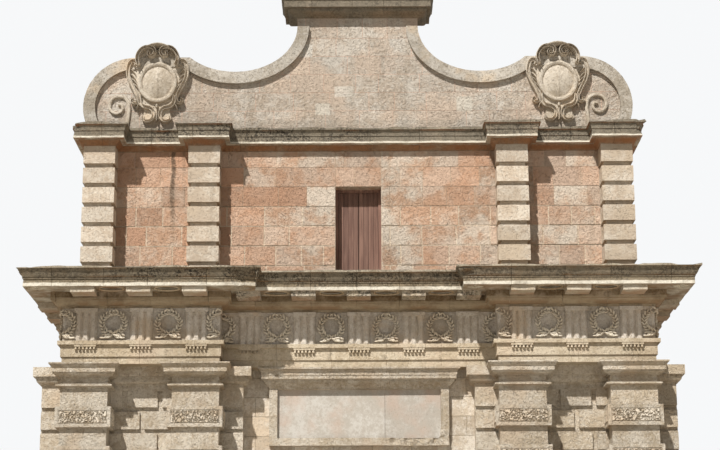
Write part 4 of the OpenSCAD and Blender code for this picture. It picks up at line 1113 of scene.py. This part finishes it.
def makeShield(name, node, side, setup):
    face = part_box("gable_wall")[0].y + setup["sunk"]
    right, outward = Vector((1, 0, 0)), Vector((0, -1, 0))
    seat = (Vector((side * setup["middle"], face, setup["height"])), right, outward)
    mesh = bmesh.new()
    outline = smoothPath(setup["outline"], 3)
    outline = outline + [(-u, v) for u, v in reversed(outline[1:-1])]
    addPlate(mesh, outline, setup["plate"], *seat)
    addDome(mesh, setup, *seat)
    rx, rz = setup["ring"]
    ring = [(rx * math.cos(math.radians(a)), rz * math.sin(math.radians(a))) for a in range(0, 360, 8)]
    carveStrip(mesh, ring, setup["ringWide"], setup["ringHigh"], *seat, "banded", closed=True)
    for s in (-1, 1):
        for points, wide, high in setup["straps"]:
            carveStrip(mesh, smoothPath([(s * u, v) for u, v in points]), lambda t: wide * (1.0 - 0.5 * t ** 2),
                       lambda t: high * (1 - 0.25 * t), *seat, "rimmed")
        for u, v, du, dv in setup["leaves"]:
            leaf = [(s * u, v), (s * (u + du * 0.5), v + dv * 0.35), (s * (u + du), v + dv)]
            carveStrip(mesh, smoothPath(leaf, 3), lambda t: 0.045 * (1 - 0.6 * t), 0.13, *seat)
    carveStrip(mesh, smoothPath(setup["crown"]), lambda t: 0.03 + 0.08 * math.sin(math.pi * t), 0.29, *seat)
    # bead and drop under the ring
    carveStrip(mesh, [(0, -0.52), (0, -0.56), (0, -0.60)], lambda t: 0.05 + 0.03 * math.sin(math.pi * t), 0.17, *seat)
    carveStrip(mesh, [(0, -0.62), (0, -0.7), (0, -0.8), (0, -0.9)], lambda t: 0.02 + 0.05 * t * (1.4 - t), 0.14, *seat)
    # spiral on the gable, outside the shield
    curl = smoothPath([(-side * u, v) for u, v in setup["spiral"]], 5)
    spiralAt = Vector((side * setup["spiralX"], face, setup["spiralZ"]))
    carveStrip(mesh, curl, lambda t: 0.085 - 0.025 * t, setup["spiralHigh"], spiralAt, right, outward, "banded")
    bmesh.ops.recalc_face_normals(mesh, faces=mesh.faces)
    finishPiece(name, mesh, shieldStone, [node])


makeShield("left_shield", "left_cartouche", -1, shield)
makeShield("right_shield", "right_cartouche", 1, shield)
print("shields and scrolls")

# door boards, each a little forward or back of the next
planks = {"Board width": 0.104, "Board thickness": 0.05, "Board height": 2.13, "Shake": 0.003, "Seed": 5,
          "gap": 0.005, "count": 4, "back": 0.004}


def plankTree():
    tree, given = openTree("plankRow", ("Board width", "Board thickness", "Board height", "Shake"), ("Seed",))
    size = vectorOf(tree, given["Board width"], given["Board thickness"], given["Board height"])
    board = put(tree, "GeometryNodeMeshCube", {"Size": size}).outputs[0]
    shake = randomBetween(tree, times(tree, given["Shake"], -1.0), given["Shake"], given["Seed"])
    spots = moved(tree, given["Places"], Offset=vectorOf(tree, y=shake))
    boards = scattered(tree, spots, board)
    boards = stored(tree, boards, "shade", randomBetween(tree, 0.0, 1.0, given["Seed"]), domain="INSTANCE")
    return closeTree(tree, realized(tree, boards), given["Finish"])


def makeDoor(setup):
    tree = plankTree()
    for side in ("left", "right"):
        low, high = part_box(side + "_door_leaf")
        step = setup["Board width"] + setup["gap"]
        first = (low.x + high.x) / 2 - step * (setup["count"] - 1) / 2
        places = [{"at": (first + step * number, (low.y + high.y) / 2 + setup["back"], (low.z + high.z) / 2)}
                  for number in range(setup["count"])]
        made = grow("boards", tree, places, dict(setup, Finish=doorTimber))
        finishPiece(side + "_door_boards", made, doorTimber, [side + "_door_leaf"])


# marble tablet in two slabs
marble = {"seam": 0.54, "gap": 0.003, "step": 0.003}


def makeMarble(setup):
    low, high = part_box("tablet_slab")
    mesh = bmesh.new()
    shade = mesh.faces.layers.float.new("shade")
    slabs = ((low.x, setup["seam"] - setup["gap"], 0.0), (setup["seam"] + setup["gap"], high.x, setup["step"]))
    for number, (x0, x1, proud) in enumerate(slabs):
        made = bmesh.ops.create_cube(mesh, size=1.0)["verts"]
        for corner in made:
            corner.co = Vector((x0 if corner.co.x < 0 else x1, low.y - proud if corner.co.y < 0 else high.y,
                                low.z if corner.co.z < 0 else high.z))
        for face in {face for corner in made for face in corner.link_faces}:
            face[shade] = float(number)
    finishPiece("marble_panels", mesh, marbleStone, ["tablet_slab"])


makeDoor(planks)
makeMarble(marble)
print("door and marble")
